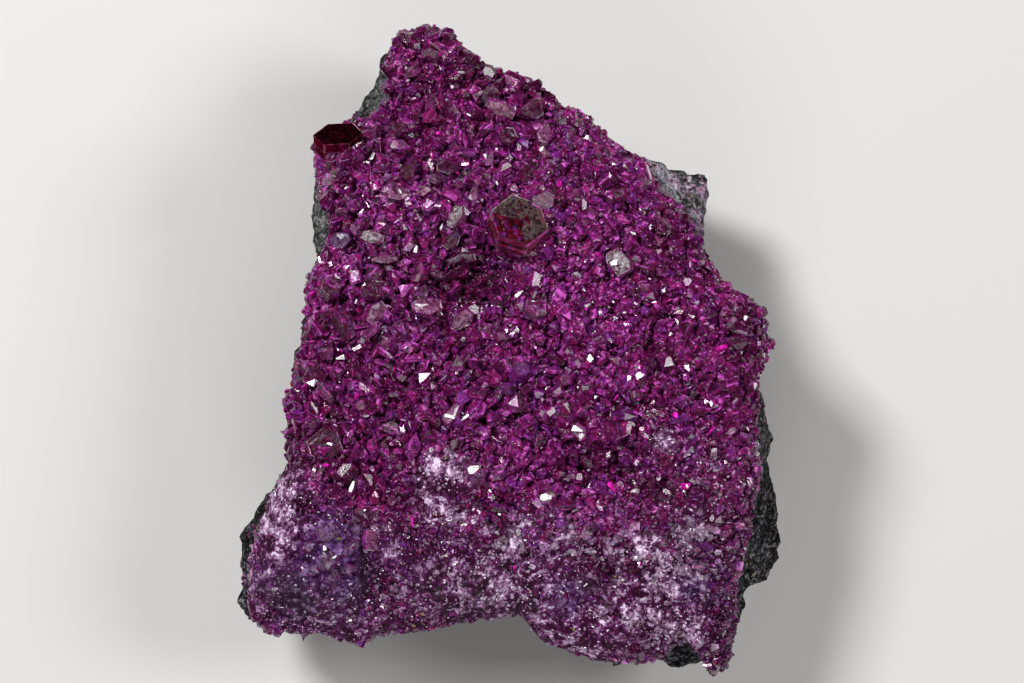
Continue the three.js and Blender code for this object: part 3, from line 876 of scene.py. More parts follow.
class Zone(Enum):
    """Parts of the plate that look different, each made of soft-edged ovals."""

    PALE = patches(
        (-23.0, -16.4, 2.5, 3.2, 0.95), (-20.5, -12.7, 2.0, 1.2, 0.35), (-24.0, -20.5, 1.6, 2.5, 0.5),
        (-8.3, -12.9, 2.0, 2.2, 0.95), (-5.4, -11.6, 1.8, 1.8, 0.75), (-7.4, -16.6, 2.0, 1.1, 0.8),
        (-4.6, -17.0, 1.6, 0.8, 0.6), (-1.4, -11.8, 1.1, 1.1, 0.5), (-14.6, -19.0, 0.9, 2.1, 0.6),
        (-12.6, -20.4, 0.9, 0.9, 0.5), (-0.7, -19.6, 1.3, 1.8, 0.9), (0.8, -16.9, 1.3, 1.0, 0.6),
        (-4.5, -23.6, 5.0, 2.6, 0.5), (1.0, -23.4, 2.2, 2.2, 0.65), (5.6, -18.4, 1.8, 2.4, 0.5),
        (12.0, -20.0, 4.0, 1.9, 0.8), (17.6, -18.6, 3.0, 1.3, 0.9), (20.2, -14.2, 1.6, 2.2, 0.6),
        (14.8, -20.2, 2.2, 1.5, 0.6), (14.3, -23.4, 2.2, 2.4, 0.75), (18.2, -22.3, 2.4, 2.8, 0.45),
        (21.4, 3.2, 0.9, 1.0, 0.7), (16.2, -28.0, 3.4, 1.8, 0.95), (10.0, -26.4, 3.2, 1.4, 0.6),
        (3.5, -28.4, 3.0, 1.4, 0.55), (8.5, -30.3, 3.5, 1.2, 0.45), (15.0, -8.7, 1.3, 1.2, 1.0),
        (-12.5, 15.8, 1.8, 0.8, 0.5), (-20.5, -27.0, 3.5, 1.4, 0.4),
    )
    VIOLET = patches(
        (-18.3, -20.6, 2.9, 3.4, 1.0), (-18.5, -16.8, 1.6, 1.4, 0.3), (-20.5, -24.0, 5.5, 3.6, 0.35),
        (3.3, -14.7, 1.0, 1.0, 0.8), (-11.0, -20.0, 2.4, 3.4, 0.15), (19.0, -23.4, 2.4, 2.2, 0.7),
        (5.0, -25.0, 1.4, 1.6, 0.8),
    )
    GREY = patches(
        (-22.2, -24.2, 3.4, 2.4, 0.75), (-17.5, -25.8, 4.0, 1.8, 0.5), (-5.0, -24.6, 5.5, 2.4, 0.75),
        (-0.8, -19.8, 1.5, 2.0, 0.5), (2.4, -26.0, 3.2, 1.2, 0.45), (16.5, -19.6, 2.6, 1.5, 0.65),
        (18.6, -23.0, 2.6, 2.6, 0.6), (15.4, -26.6, 1.4, 0.9, 0.6),
    )
    # Painted shade over the face's hollows and furrows, and darker crust elsewhere: darkens the ground
    # and the crystals.
    DARK = patches(
        (-4.8, 7.4, 3.2, 2.4, 1.0), (-1.8, 8.4, 2.0, 1.6, 0.8), (6.8, -11.6, 3.0, 1.6, 0.8),
        (12.8, -14.4, 1.8, 1.2, 0.6), (-14.7, -23.6, 1.3, 1.8, 1.0), (-15.3, -21.0, 0.5, 3.0, 0.8),
        (-17.4, -12.2, 2.4, 2.2, 0.55), (-12.0, -13.5, 2.4, 1.6, 0.35), (-2.6, -15.0, 3.2, 0.9, 0.45),
        (7.6, -23.0, 2.8, 1.8, 0.75), (23.2, 1.4, 1.1, 3.4, 0.6), (-17.8, 14.5, 2.0, 2.0, 0.3),
        (-22.0, -9.0, 2.0, 3.2, 0.35), (14.6, -5.4, 1.8, 1.4, 0.35), (21.0, -2.4, 2.4, 1.6, 0.25),
        (19.8, -19.2, 0.9, 0.5, 1.0), (21.6, -27.6, 1.3, 3.0, 0.7), (-22.5, -24.5, 2.6, 1.8, 0.6),
        (-9.0, -21.0, 2.4, 1.6, 0.4), (-18.5, -26.0, 5.0, 1.6, 0.35),
    )
    BRIGHT = patches(
        (-3.4, -5.6, 2.4, 1.8, 0.8), (0.6, -6.8, 4.5, 1.5, 0.5), (-15.8, -4.6, 3.4, 2.6, 0.5),
        (11.5, 1.6, 2.0, 1.6, 0.6), (3.4, 1.6, 4.0, 2.0, 0.35), (-3.4, 20.0, 3.0, 3.4, 0.4),
        (-14.0, 17.4, 1.8, 2.6, 0.45), (12.6, 16.0, 3.0, 2.4, 0.4),
    )
    FINE = patches(
        (-3.0, -26.0, 34.0, 8.5, 1.0), (-7.4, -13.4, 2.9, 3.4, 0.85), (15.0, -8.7, 1.5, 1.4, 1.0),
        (-23.0, -17.0, 3.6, 7.0, 0.8), (-18.3, -20.6, 3.2, 3.8, 0.9), (19.0, -14.0, 8.0, 6.0, 0.45),
        (20.0, 1.0, 9.0, 9.0, 0.2), (-8.5, 29.5, 6.0, 4.0, 0.35), (10.0, 14.0, 10.0, 8.0, 0.1),
    )
    MOSSY = patches(
        (17.0, 15.5, 3.4, 4.5, 0.9), (-14.6, 25.5, 2.4, 3.4, 0.45), (-19.6, 12.5, 1.2, 4.5, 0.8),
        (24.4, -9.0, 1.2, 3.0, 0.5),
    )
    CHALKY = patches(
        (14.6, 17.4, 1.7, 1.5, 1.0), (15.6, 15.2, 1.3, 1.6, 0.8), (24.2, -4.4, 0.8, 1.4, 0.7),
    )

    def cover(self, x: Array, y: Array, noise: Noise | None = None) -> Array:
        """How strongly the zone covers each place.

        Args:
            x: Places across the plate.
            y: Places along it.
            noise: Roughens the zone's edges.

        Returns:
            A share from 0 to 1 for each.
        """
        clear = np.ones_like(x)
        for patch in self.value:
            clear = clear * (1 - patch.cover(x, y))
        cover = 1 - clear
        if noise is not None:
            cover = cover + 0.3 * noise.cloud(flat_points(x, y), 2.2) * np.sqrt(np.clip(cover, 0, 1))
        return np.clip(cover, 0, 1)


# ---------------------------------------------------------------- pieces


def make_piece(
    name: str, points: Array, faces: Sequence[Sequence[int]] | Array, material: bpy.types.Material
) -> bpy.types.Object:
    """Makes a mesh object.

    Args:
        name: Its name.
        points: Its points, in millimetres from the plate's middle.
        faces: Point numbers of each face.
        material: Its finish.

    Returns:
        The object.
    """
    mesh = bpy.data.meshes.new(name)
    moved = (points + np.array([*PLATE_MIDDLE, 0.0])) * MILLIMETRE
    mesh.from_pydata(moved, [], faces, shade_flat=True)
    mesh.materials.append(material)
    mesh.update()
    piece = bpy.data.objects.new(name, mesh)
    bpy.context.collection.objects.link(piece)
    return piece


def store(piece: bpy.types.Object, domain: str, **values: Array) -> None:
    """Stores values on a mesh for its material.

    Args:
        piece: The object.
        domain: POINT, FACE or CORNER, for what each value belongs to.
        **values: One array for each stored name.
    """
    for name, value in values.items():
        layer = piece.data.attributes.new(name, "FLOAT", domain)
        layer.data.foreach_set("value", np.ascontiguousarray(value, dtype=np.float32))


def read(items: Any, name: str, kind: type = np.int32, width: int = 1) -> Array:
    """Reads a value of every item of a mesh.

    Args:
        items: The mesh's points, corners or faces.
        name: Name of the value.
        kind: Type of its numbers.
        width: How many numbers it has.

    Returns:
        The values, in rows where they have more than one number.
    """
    values = np.empty(len(items) * width, dtype=kind)
    items.foreach_get(name, values)
    return values if width == 1 else values.reshape(-1, width)


def lay_out(piece: bpy.types.Object, places: Array) -> None:
    """Gives each corner of a piece's faces its place on the piece's texture."""
    layer = piece.data.uv_layers.new(name="OFBake")
    layer.data.foreach_set("uv", places.astype(np.float32).ravel())


def spread_faces(piece: bpy.types.Object, reach: float = 0.36) -> None:
    """Gives every face a small place of its own on the piece's texture.

    Args:
        piece: The object.
        reach: Half the width of a face's place, as a share of the room it has.
    """
    totals = read(piece.data.polygons, "loop_total")
    owner = np.repeat(np.arange(len(totals)), totals)
    starts = np.concatenate([[0], np.cumsum(totals)[:-1]])
    corner = np.arange(len(owner)) - starts[owner]
    side = math.ceil(math.sqrt(len(totals)))
    turn = 2 * math.pi * (corner + 0.5) / totals[owner]
    column, row = owner % side, owner // side
    places = np.stack([column + 0.5 + reach * np.cos(turn), row + 0.5 + reach * np.sin(turn)], axis=1)
    lay_out(piece, places / side)


@dataclass
class Rock:
    """The dark rock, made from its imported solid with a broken, granular skin."""

    name: str = "matrix_rock"
    node: str = "chromite_matrix"
    slot: str = "chromite_rock"
    seed: int = 11
    voxel: float = 0.36
    layers: tuple[tuple[float, float], ...] = ((7.0, 0.5), (2.4, 0.4), (1.0, 0.26))
    chips: tuple[tuple[float, float, float], ...] = ((5.5, 0.2, 2.4), (2.0, 0.5, 0.4))
    lilac_chunk: Patch = Patch(16.5, 15.5, 3.6, 4.5, 1.0)
    lilac_hem: float = 0.7
    hem_depth: float = 3.5
    finish: RockFinish = field(default_factory=RockFinish)
    skin: tuple[Array, Array] = (np.empty(0), np.empty(0))

    def build(self) -> bpy.types.Object:
        """Makes the rock, and keeps the points and normals of its skin.

        Returns:
            The object.
        """
        points, faces, normals = self._dense_skin()
        noise = Noise(self.seed)
        height = points[:, 2]
        swell = sum(depth * noise.cloud(points, size, 3) for size, depth in self.layers)
        low = fade(height, 11.0, 7.0)
        chip = sum(
            np.clip(noise.cells(points + 20 * size, size) - 0.35, 0, 0.5) * (high + deeper * low)
            for size, high, deeper in self.chips
        )
        lift = (swell - chip) * fade(height, 0.0, 1.5)
        points = points + normals * lift[:, None]
        points[:, 2] = np.maximum(points[:, 2], 0.0)
        self.skin = points, normals
        piece = make_piece(self.name, points, faces, self.finish.material())
        self._stain(piece, points, noise)
        self._lay_halves(piece)
        return piece

    def _stain(self, piece: bpy.types.Object, points: Array, noise: Noise) -> None:
        """Stores where the rock is lilac, chalky or mossy.

        Args:
            piece: The rock.
            points: Its points, in millimetres.
            noise: Roughens the edges of the stains.
        """
        x, y, height = points.T
        upper = fade(height, 9.0, 15.0)
        hem = np.clip(1 - below_crust(points) / self.hem_depth, 0, 1) * self.lilac_hem
        ragged = height + 3.0 * noise.cloud(points + 7, 5.0)
        store(
            piece,
            "POINT",
            lilac=np.clip(self.lilac_chunk.cover(x, y) * upper + hem, 0, 1),
            chalky=Zone.CHALKY.cover(x, y, noise) * upper,
            mossy=Zone.MOSSY.cover(x, y, noise) * fade(ragged, 9.0, 16.0),
        )

    def _dense_skin(self) -> tuple[Array, list[list[int]], Array]:
        """Copies the solid and divides it evenly.

        Returns:
            Points in millimetres from the plate's middle, faces and normals.
        """
        source = bpy.data.objects[self.node]
        copy = source.copy()
        copy.data = source.data.copy()
        bpy.context.collection.objects.link(copy)
        remesh = copy.modifiers.new("even skin", "REMESH")
        remesh.mode = "VOXEL"
        remesh.voxel_size = self.voxel * MILLIMETRE
        even = copy.evaluated_get(bpy.context.evaluated_depsgraph_get()).to_mesh()
        points = read(even.vertices, "co", float, 3) / MILLIMETRE - np.array([*PLATE_MIDDLE, 0.0])
        normals = read(even.vertices, "normal", float, 3)
        faces = [list(face.vertices) for face in even.polygons]
        bpy.data.objects.remove(copy)
        return points, faces, normals

    @staticmethod
    def _lay_halves(piece: bpy.types.Object) -> None:
        """Lays the upper and lower halves of the skin side by side on the piece's texture.

        Args:
            piece: The rock.
        """
        mesh = piece.data
        points = read(mesh.vertices, "co", float, 3)
        low, high = points.min(axis=0), points.max(axis=0)
        middle = (low + high) / 2
        away = (points - middle) / ((high - low) / 2)
        centres = read(mesh.polygons, "center", float, 3)
        upper = np.repeat(centres[:, 2] > middle[2], read(mesh.polygons, "loop_total"))
        flat = away[:, :2] * (0.72 + 0.27 * (1 - np.abs(away[:, 2])))[:, None]
        shift = np.where(upper, 0.25, 0.75)[:, None] * (1, 0) + (0, 0.5)
        lay_out(piece, flat[read(mesh.loops, "vertex_index")] * (0.24, 0.48) + shift)


@dataclass
class CrustBed:
    """The crust's grown-together ground, from its face round its edge to its hem."""

    name: str = "crust_bed"
    seed: int = 23
    shape_seed: int = 5
    cells: int = 264
    wall_rows: int = 18
    sunk: float = 0.3
    inset: float = 0.5
    swell: float = 0.1
    wear: float = 1.0
    hem_ragged: float = 0.9
    lump: float = 0.5
    sugar: float = 0.24
    fine_sugar: float = 0.14
    finish: CrustFinish = field(default_factory=CrustFinish)

    def build(self) -> bpy.types.Object:
        """Makes the crust's ground.

        Returns:
            The object.
        """
        points, faces, places = self._sheet()
        x, y = points[:, 0], points[:, 1]
        noise = Noise(self.seed)
        piece = make_piece(self.name, points, faces, self.finish.material())
        store(
            piece,
            "POINT",
            pale=Zone.PALE.cover(x, y, noise),
            violet=Zone.VIOLET.cover(x, y, noise),
            grey=Zone.GREY.cover(x, y, noise),
            sugary=Zone.FINE.cover(x, y, noise) * fade(y, -6.0, -10.0),
            dark=Zone.DARK.cover(x, y, noise),
        )
        lay_out(piece, places[read(piece.data.loops, "vertex_index")])
        return piece

    def _sheet(self) -> tuple[Array, Array, Array]:
        """A square sheet wrapped over the face, its outer rows turned down round the edge.

        Returns:
            Points, faces and the sheet's own flat places.
        """
        side = self.cells + 2 * self.wall_rows
        steps = np.linspace(-1, 1, side + 1) * side / self.cells
        across, along = (grid.ravel() for grid in np.meshgrid(steps, steps))
        ring = np.maximum(np.abs(across), np.abs(along))
        angle = self._angle(across, along)
        outward = flat_points(np.cos(angle), np.sin(angle))
        noise = Noise(self.shape_seed)
        points, turned = self._wrapped(ring, angle, outward, noise)
        lift = self._roughness(points, turned, noise)
        turn = np.clip((ring - 0.93) / 0.1, 0, 1)[:, None]
        points = points + lift[:, None] * (outward * turn + np.array([0.0, 0.0, 1.0]) * (1 - turn))
        index = np.arange((side + 1) ** 2).reshape(side + 1, side + 1)
        corners = (index[:-1, :-1], index[:-1, 1:], index[1:, 1:], index[1:, :-1])
        faces = np.stack(corners, axis=-1).reshape(-1, 4)
        places = np.stack([across, along], axis=1) / (2 * steps[-1]) + 0.5
        return points, faces, places

    def _wrapped(self, ring: Array, angle: Array, outward: Array, noise: Noise) -> tuple[Array, Array]:
        """Lays the sheet on the face and down round its edge, still smooth.

        Args:
            ring: How far out each point is, 1 at the face's edge.
            angle: Its direction.
            outward: The same direction, as rows of x, y and z.
            noise: Makes the hem ragged.

        Returns:
            Points, and how far each has turned down round the edge, from 0 to 1.
        """
        reach = np.minimum(ring, 1.0) * (CRUST_EDGE.reach(angle) - self.inset)
        x, y = reach * np.cos(angle), reach * np.sin(angle)
        down = np.clip((ring - 1.0) * self.cells / (2 * self.wall_rows), 0, 1)
        turned = fade(down, 0.0, 0.8)
        out = self.swell * np.sin(math.pi * turned) - self.wear * fade(down, 0.45, 1.0)
        wrap = FACE.wrap + self.hem_ragged * noise.cloud(outward * 9, 1.4)
        z = FACE.top(x, y) - self.sunk - (wrap - self.sunk) * turned + 0.6 * np.clip(down - 0.8, 0, 1)
        return np.stack([x + out * np.cos(angle), y + out * np.sin(angle), z], axis=1), turned

    def _roughness(self, points: Array, turned: Array, noise: Noise) -> Array:
        """How far the sheet's lumps and sugary grains stand out.

        Args:
            points: Points of the smooth sheet.
            turned: How far each has turned down round the edge.
            noise: Shapes the lumps and grains.

        Returns:
            The lift of each point.
        """
        fine = Zone.FINE.cover(points[:, 0], points[:, 1])
        smooth = Zone.VIOLET.cover(points[:, 0], points[:, 1])
        lumps = (1 - fine) * self.lump * noise.cloud(points, 2.0, 3)
        grains = self.sugar * (0.6 - noise.cells(points, 0.9))
        grains = grains + self.fine_sugar * noise.cloud(points + 9, 0.5, 2)
        lift = lumps + (0.35 + 0.65 * fine) * (1 - 0.4 * smooth) * (1 + 0.5 * turned) * grains
        return lift + fine * 0.3 * noise.cloud(points + 3, 2.6, 2) + 0.35 * fine

    @staticmethod
    def _angle(across: Array, along: Array) -> Array:
        """Direction of each place of the sheet once its square rows are made round.

        Args:
            across: Places across the sheet, from its middle.
            along: Places along it.

        Returns:
            Angles from minus pi to pi.
        """
        wide = np.abs(across) >= np.abs(along)
        with np.errstate(divide="ignore", invalid="ignore"):
            steep = np.where(wide, along / across, across / along)
        steep = np.nan_to_num(steep) * math.pi / 4
        turned = np.where(wide, steep, math.pi / 2 - steep)
        flipped = np.where(wide, across < 0, along < 0)
        angle = turned + np.where(flipped, math.pi, 0)
        return (angle + math.pi) % (2 * math.pi) - math.pi


@dataclass
class CrystalShapes:
    """Shapes and places of many six-sided, barrel-shaped crystals, one row for each."""

    centres: Array
    axes: Array
    widths: Array
    lengths: Array
    rng: np.random.Generator
    uneven: float = 0.68
    end_least: float = 0.35
    end_most: float = 0.92
    peak: float = 0.32
    slim: float = 0.45
    broad: float = 1.0

    ALTERNATE = 0.66  # how far every other side may be drawn in, for nearly triangular ones
    MIDDLE = 0.3  # how far the widest ring strays from halfway, in lengths
    LEAN = 0.07  # how far the ends stray sideways, in widths
    TIPPED = 0.55  # share of crystals with a raised tip
    LEAF_SLANT = 0.35  # of the leaves across a crystal
    LEAF_SHIFT = 7.3  # keeps the leaves of two crystals from lining up
    CORNERS = 19  # of one crystal: three rings of six, and the tip
    FACES = (
        [(18, k, (k + 1) % 6) for k in range(6)]
        + [
            (ring + k, ring + 6 + k, ring + 6 + (k + 1) % 6, ring + (k + 1) % 6)
            for ring in (0, 6)
            for k in range(6)
        ]
        + [(17, 16, 15, 14, 13, 12)]
    )
    ACROSS = [0.5] * 18 + [0.0, 0.0, 1.0, 1.0] * 12 + [0.5] * 6
    UP = [0.5, 0.0, 0.0] * 6 + [0.0, 1.0, 1.0, 0.0] * 12 + [0.5] * 6

    def points(self) -> tuple[Array, Array]:
        """Works out the crystals' corners.

        Returns:
            Corners as rows, all of one crystal together, and how far along its crystal each one is.
        """
        count, rng = len(self.centres), self.rng
        reaches = rng.uniform(self.uneven, 1.0, (count, 6))
        reaches[:, ::2] *= rng.uniform(self.ALTERNATE, 1.0, (count, 1))
        ring = self.hexagons(reaches) * (self.widths[:, None, None] / 2)
        ring[..., 1] *= rng.uniform(self.slim, self.broad, (count, 1))
        middle = rng.uniform(-self.MIDDLE, self.MIDDLE, count)
        lean = rng.normal(0, self.LEAN, (2, count, 1, 2)) * self.widths[:, None, None]
        ends = rng.uniform(self.end_least, self.end_most, (2, count, 1, 1))
        flats = (ring * ends[0] + lean[0], ring, ring * ends[1] + lean[1])
        heights = (0.5 * self.lengths, middle * self.lengths, -0.5 * self.lengths)
        rings = [
            np.concatenate([flat, np.broadcast_to(height[:, None, None], (count, 6, 1))], axis=2)
            for flat, height in zip(flats, heights)
        ]
        tip = rings[0].mean(axis=1, keepdims=True)
        peaks = rng.uniform(0, self.peak, count)
        tip[:, 0, 2] += self.widths * peaks * (rng.random(count) < self.TIPPED)
        local = np.concatenate([*rings, tip], axis=1)
        helper = np.where(np.abs(self.axes[:, 2:3]) < 0.9, (0.0, 0.0, 1.0), (1.0, 0.0, 0.0))
        side = unit(np.cross(helper, self.axes))
        other = np.cross(self.axes, side)
        spin = rng.uniform(0, 2 * math.pi, (count, 1))
        turned = side * np.cos(spin) + other * np.sin(spin)
        basis = np.stack([turned, other * np.cos(spin) - side * np.sin(spin), self.axes], axis=1)
        placed = np.einsum("nvi,nij->nvj", local, basis) + self.centres[:, None, :]
        along = local[..., 2] + self.LEAF_SLANT * local[..., 0]
        along = along + self.LEAF_SHIFT * np.arange(count)[:, None]
        return placed.reshape(-1, 3), along.ravel()

    @staticmethod
    def hexagons(reaches: Array) -> Array:
        """Hexagons with true angles and uneven sides.

        Args:
            reaches: Distance of each side from the middle, six to a row.

        Returns:
            Corners, six to a row.
        """
        turns = np.arange(7) * math.pi / 3
        out = np.stack([np.cos(turns), np.sin(turns)], axis=1)
        near, far = reaches, np.roll(reaches, -1, axis=1)
        x = (near * out[1:, 1] - far * out[:-1, 1]) / math.sin(math.pi / 3)
        y = (far * out[:-1, 0] - near * out[1:, 0]) / math.sin(math.pi / 3)
        return np.stack([x, y], axis=2)

    def build(self, name: str, material: bpy.types.Material) -> bpy.types.Object:
        """Makes the crystals as one object.

        Args:
            name: Name of the object.
            material: Its finish.

        Returns:
            The object, with the values that every crystal's finish needs along its edges.
        """
        points, along = self.points()
        count = len(self.centres)
        starts = range(0, self.CORNERS * count, self.CORNERS)
        faces = [[start + corner for corner in face] for start in starts for face in self.FACES]
        piece = make_piece(name, points, faces, material)
        store(piece, "POINT", along=along)
        store(piece, "CORNER", across=np.tile(self.ACROSS, count), up=np.tile(self.UP, count))
        spread_faces(piece)
        return piece

    def owners(self) -> Array:
        """The crystal of each face."""
        return np.repeat(np.arange(len(self.centres)), len(self.FACES))


CLEARINGS = ((0.5, 12.6, 2.3), (-17.6, 21.2, 1.9), (-18.2, -20.4, 2.0))  # for the largest crystals
EVERYWHERE = (-1.0, 2.0)  # a band of fineness that leaves no place out
SUGAR_EDGE = -8.0  # fine crystals are sugary on the side of the wide end


def mirrors(axes: Array, angle: float) -> Array:
    """Whether crystals face within so many degrees of the way that mirrors the main light."""
    return axes @ MIRRORED > math.cos(math.radians(angle))


@dataclass
class Druse:
    """One size of crystals scattered closely over the crust."""

    name: str
    seed: int
    spacing: float
    widths: tuple[float, float]
    flatness: tuple[float, float]
    band: tuple[float, float]
    finish: CrystalFinish
    sink: float = 0.15
    brightness: float = 0.5
    # share of crystals given grey frosting with a painted sheen
    frosted: float = 0.12
    tilt: tuple[float, float] = (15.0, 88.0)
    thinning: float = 0.0
    fewer_right: float = 0.0
    fewer_left: float = 0.0

    FIELD = (30.0, 35.0)  # half the width and length of the grid that places them
    ROW = 0.866  # distance of its rows, as a share of the spacing
    BAND_EDGE = 0.12  # over which the crystals of a band thin out, in fineness
    DAZZLE = (10.0, 1.2)  # degrees and least width of crystals that would mirror too much light
    TURN_AWAY = (0.35, -0.25, 0.0)  # added to the way that they face
    # Crystals facing near the main light's mirror get grey frosting with a painted sheen in place of a
    # flash.
    FLASH = (9.0, 0.9)  # degrees and least width of those that are frosted instead
    TONES = Noise(77)  # broad light and dark parts that all sizes share

    def build(self) -> bpy.types.Object:
        """Scatters the crystals and makes them as one piece.

        Returns:
            The object.
        """
        rng = np.random.default_rng(self.seed)
        centres, normals = self._places(rng)
        x, y = centres[:, 0], centres[:, 1]
        least, most = self.widths
        widths = least + (most - least) * rng.random(len(x)) ** 1.6
        widths = widths * (1 - 0.35 * Zone.PALE.cover(x, y))
        lengths = widths * rng.uniform(*self.flatness, len(x))
        axes = self._axes(rng, normals)
        angle, wide = self.DAZZLE
        axes[mirrors(axes, angle) & (widths > wide)] += self.TURN_AWAY
        centres = centres - normals * (self.sink * widths)[:, None]
        shapes = CrystalShapes(centres, unit(axes), widths, lengths, rng)
        piece = shapes.build(self.name, self.finish.material())
        self._dress(piece, shapes, x, y)
        return piece

    def _dress(self, piece: bpy.types.Object, shapes: CrystalShapes, x: Array, y: Array) -> None:
        """Stores each face's tone and painted shading, its grey frosting with painted sheen, and how pale
        it is.

        Args:
            piece: The crystals.
            shapes: Their shapes.
            x: Their places across the plate.
            y: Their places along it.
        """
        rng, owner = shapes.rng, shapes.owners()
        count, faces = len(x), len(owner)
        noise = Noise(self.seed + 100)
        fine = Zone.FINE.cover(x, y) * (y < SUGAR_EDGE)
        tone = self.brightness + 0.12 * self.TONES.cloud(flat_points(x, y), 5.5, 3)
        tone = tone + rng.normal(0, 0.07, count)
        tone = tone + (0.12 + 0.16 * fine) * noise.cloud(shapes.centres + 90, 1.6, 2)
        # The dark zone darkens the crystals as painted shade.
        tone = tone + 0.2 * Zone.BRIGHT.cover(x, y) - 0.35 * Zone.DARK.cover(x, y)
        tone = tone - 0.16 * fade(y, 22, 27)
        tone = tone - 0.1 * fade(x, 8, 16)
        tone = tone - 0.1 * fine
        frost = (rng.random(count) < self._frost_sheen_chance(x, y, fine)) * rng.uniform(0.35, 1.0, count)
        angle, wide = self.FLASH
        frost = np.where(mirrors(shapes.axes, angle) & (shapes.widths > wide), 0.5, frost)
        lace = 0.95 * noise.cloud(shapes.centres + 50, 2.0, 3)
        pale = np.clip(Zone.PALE.cover(x, y) + lace * (0.3 + 0.7 * fine) - 0.4, 0, 1)
        pale = np.clip(pale + rng.normal(-0.04, 0.15, count), 0, 1) * (pale > 0.02)
        cast = np.clip(rng.random(count) + 0.35 * Zone.VIOLET.cover(x, y), 0, 1)
        store(
            piece,
            "FACE",
            facet=np.clip(tone[owner] + rng.normal(0, 0.11, faces), 0, 1),
            cast=cast[owner],
            frost=frost[owner] * (rng.random(faces) < 0.6),
            pale=pale[owner] ** 1.3,
            sugary=fine[owner],
            shine=rng.random(faces) ** 2 * (rng.random(faces) < 0.6),
            slant=rng.normal(0, 0.5, faces),
        )

    def _frost_sheen_chance(self, x: Array, y: Array, fine: Array) -> Array:
        """How likely the crystals of each place are to get grey frosting with a painted sheen.

        Args:
            x: Places across the plate.
            y: Places along it.
            fine: How sugary the crust is there.

        Returns:
            A chance from 0 to 1 for each.
        """
        chance = self.frosted * (1 - 0.6 * fade(y, 20, 25)) * (1 - 0.5 * fade(x, 2, 10))
        chance = chance * (0.55 + 0.45 * fade(y, 4, 10)) + 0.15 * fine
        return chance + 0.15 * fade(y, 12, 16) * fade(y, 27, 23) * fade(x, 9, 3)

    def _places(self, rng: np.random.Generator) -> tuple[Array, Array]:
        """Places on the face where crystals of this size grow.

        Args:
            rng: Source of chance.

        Returns:
            Centres and the directions out of the crust, as rows.
        """
        wide, long = self.FIELD
        rows = np.arange(-long, long, self.spacing * self.ROW)
        columns = np.arange(-wide, wide, self.spacing)
        grid_x, grid_y = np.meshgrid(columns, rows)
        grid_x[1::2] += self.spacing / 2
        x = grid_x.ravel() + rng.uniform(-0.5, 0.5, grid_x.size) * self.spacing
        y = grid_y.ravel() + rng.uniform(-0.5, 0.5, grid_y.size) * self.spacing
        keep = FACE.share(x, y) < 1 - 0.012 * self.widths[0]
        for middle_x, middle_y, reach in CLEARINGS:
            keep = keep & (np.hypot(x - middle_x, y - middle_y) > reach)
        x, y = x[keep], y[keep]
        keep = rng.random(len(x)) < self._density(x, y)
        x, y = x[keep], y[keep]
        return np.stack([x, y, FACE.top(x, y)], axis=1), FACE.normal(x, y)

    def _density(self, x: Array, y: Array) -> Array:
        """How closely crystals of this size grow at each place.

        Args:
            x: Places across the plate.
            y: Places along it.

        Returns:
            A share from 0 to 1 for each.
        """
        fine = Zone.FINE.cover(x, y)
        low, high = self.band
        wanted = fade(fine, low - self.BAND_EDGE, low) * fade(fine, high + self.BAND_EDGE, high)
        wanted = wanted * (1 - self.fewer_right * fade(x, -1, 5)) * (1 - self.fewer_left * fade(x, 3, -3))
        bare = Zone.PALE.cover(x, y) + Zone.GREY.cover(x, y) + Zone.VIOLET.cover(x, y)
        return wanted * (1 - self.thinning * np.clip(bare, 0, 1.2))

    def _axes(self, rng: np.random.Generator, normals: Array) -> Array:
        """Directions of the crystals' axes, leaning away from straight out of the crust.

        Args:
            rng: Source of chance.
            normals: Directions out of the crust.

        Returns:
            Unit vectors, as rows.
        """
        chance = rng.normal(size=normals.shape)
        side = unit(chance - normals * np.sum(chance * normals, axis=1, keepdims=True))
        tilt = np.radians(rng.uniform(*self.tilt, len(normals)))[:, None]
        return normals * np.cos(tilt) + side * np.sin(tilt)


@dataclass
class RimDruse(Druse):
    """Crystals round the crust's broken edge."""

    count: int = 1100
    depth: float = 2.5
    step: float = 0.6
    lean_top: float = 65.0
    lean_turn: float = 75.0

    def _places(self, rng: np.random.Generator) -> tuple[Array, Array]:
        """Places down the crust's edge.

        Args:
            rng: Source of chance.

        Returns:
            Centres and the directions out of the crust, as rows.
        """
        walk = np.stack([np.cos(CRUST_EDGE.angles), np.sin(CRUST_EDGE.angles)]) * CRUST_EDGE.reaches
        walked = np.concatenate([[0], np.cumsum(np.hypot(*np.diff(walk)))])
        spots = rng.uniform(0, walked[-1], self.count)
        x, y = (np.interp(spots, walked, line) for line in walk)
        ahead_x, ahead_y = (
            np.interp(spots + self.step, walked, line) - np.interp(spots - self.step, walked, line)
            for line in walk
        )
        length = np.maximum(np.hypot(ahead_x, ahead_y), 1e-6)
        down = rng.random(self.count) ** 1.3
        lift = np.radians(self.lean_top - self.lean_turn * down)
        outward = flat_points(ahead_y / length, -ahead_x / length)
        normals = outward * np.cos(lift)[:, None]
        normals[:, 2] = np.sin(lift)
        inward = 0.5 * np.abs(down - 0.4) + 0.25
        z = FACE.top(0.985 * x, 0.985 * y) - 0.2 - self.depth * down
        return np.stack([x, y, z], axis=1) - outward * inward[:, None], normals


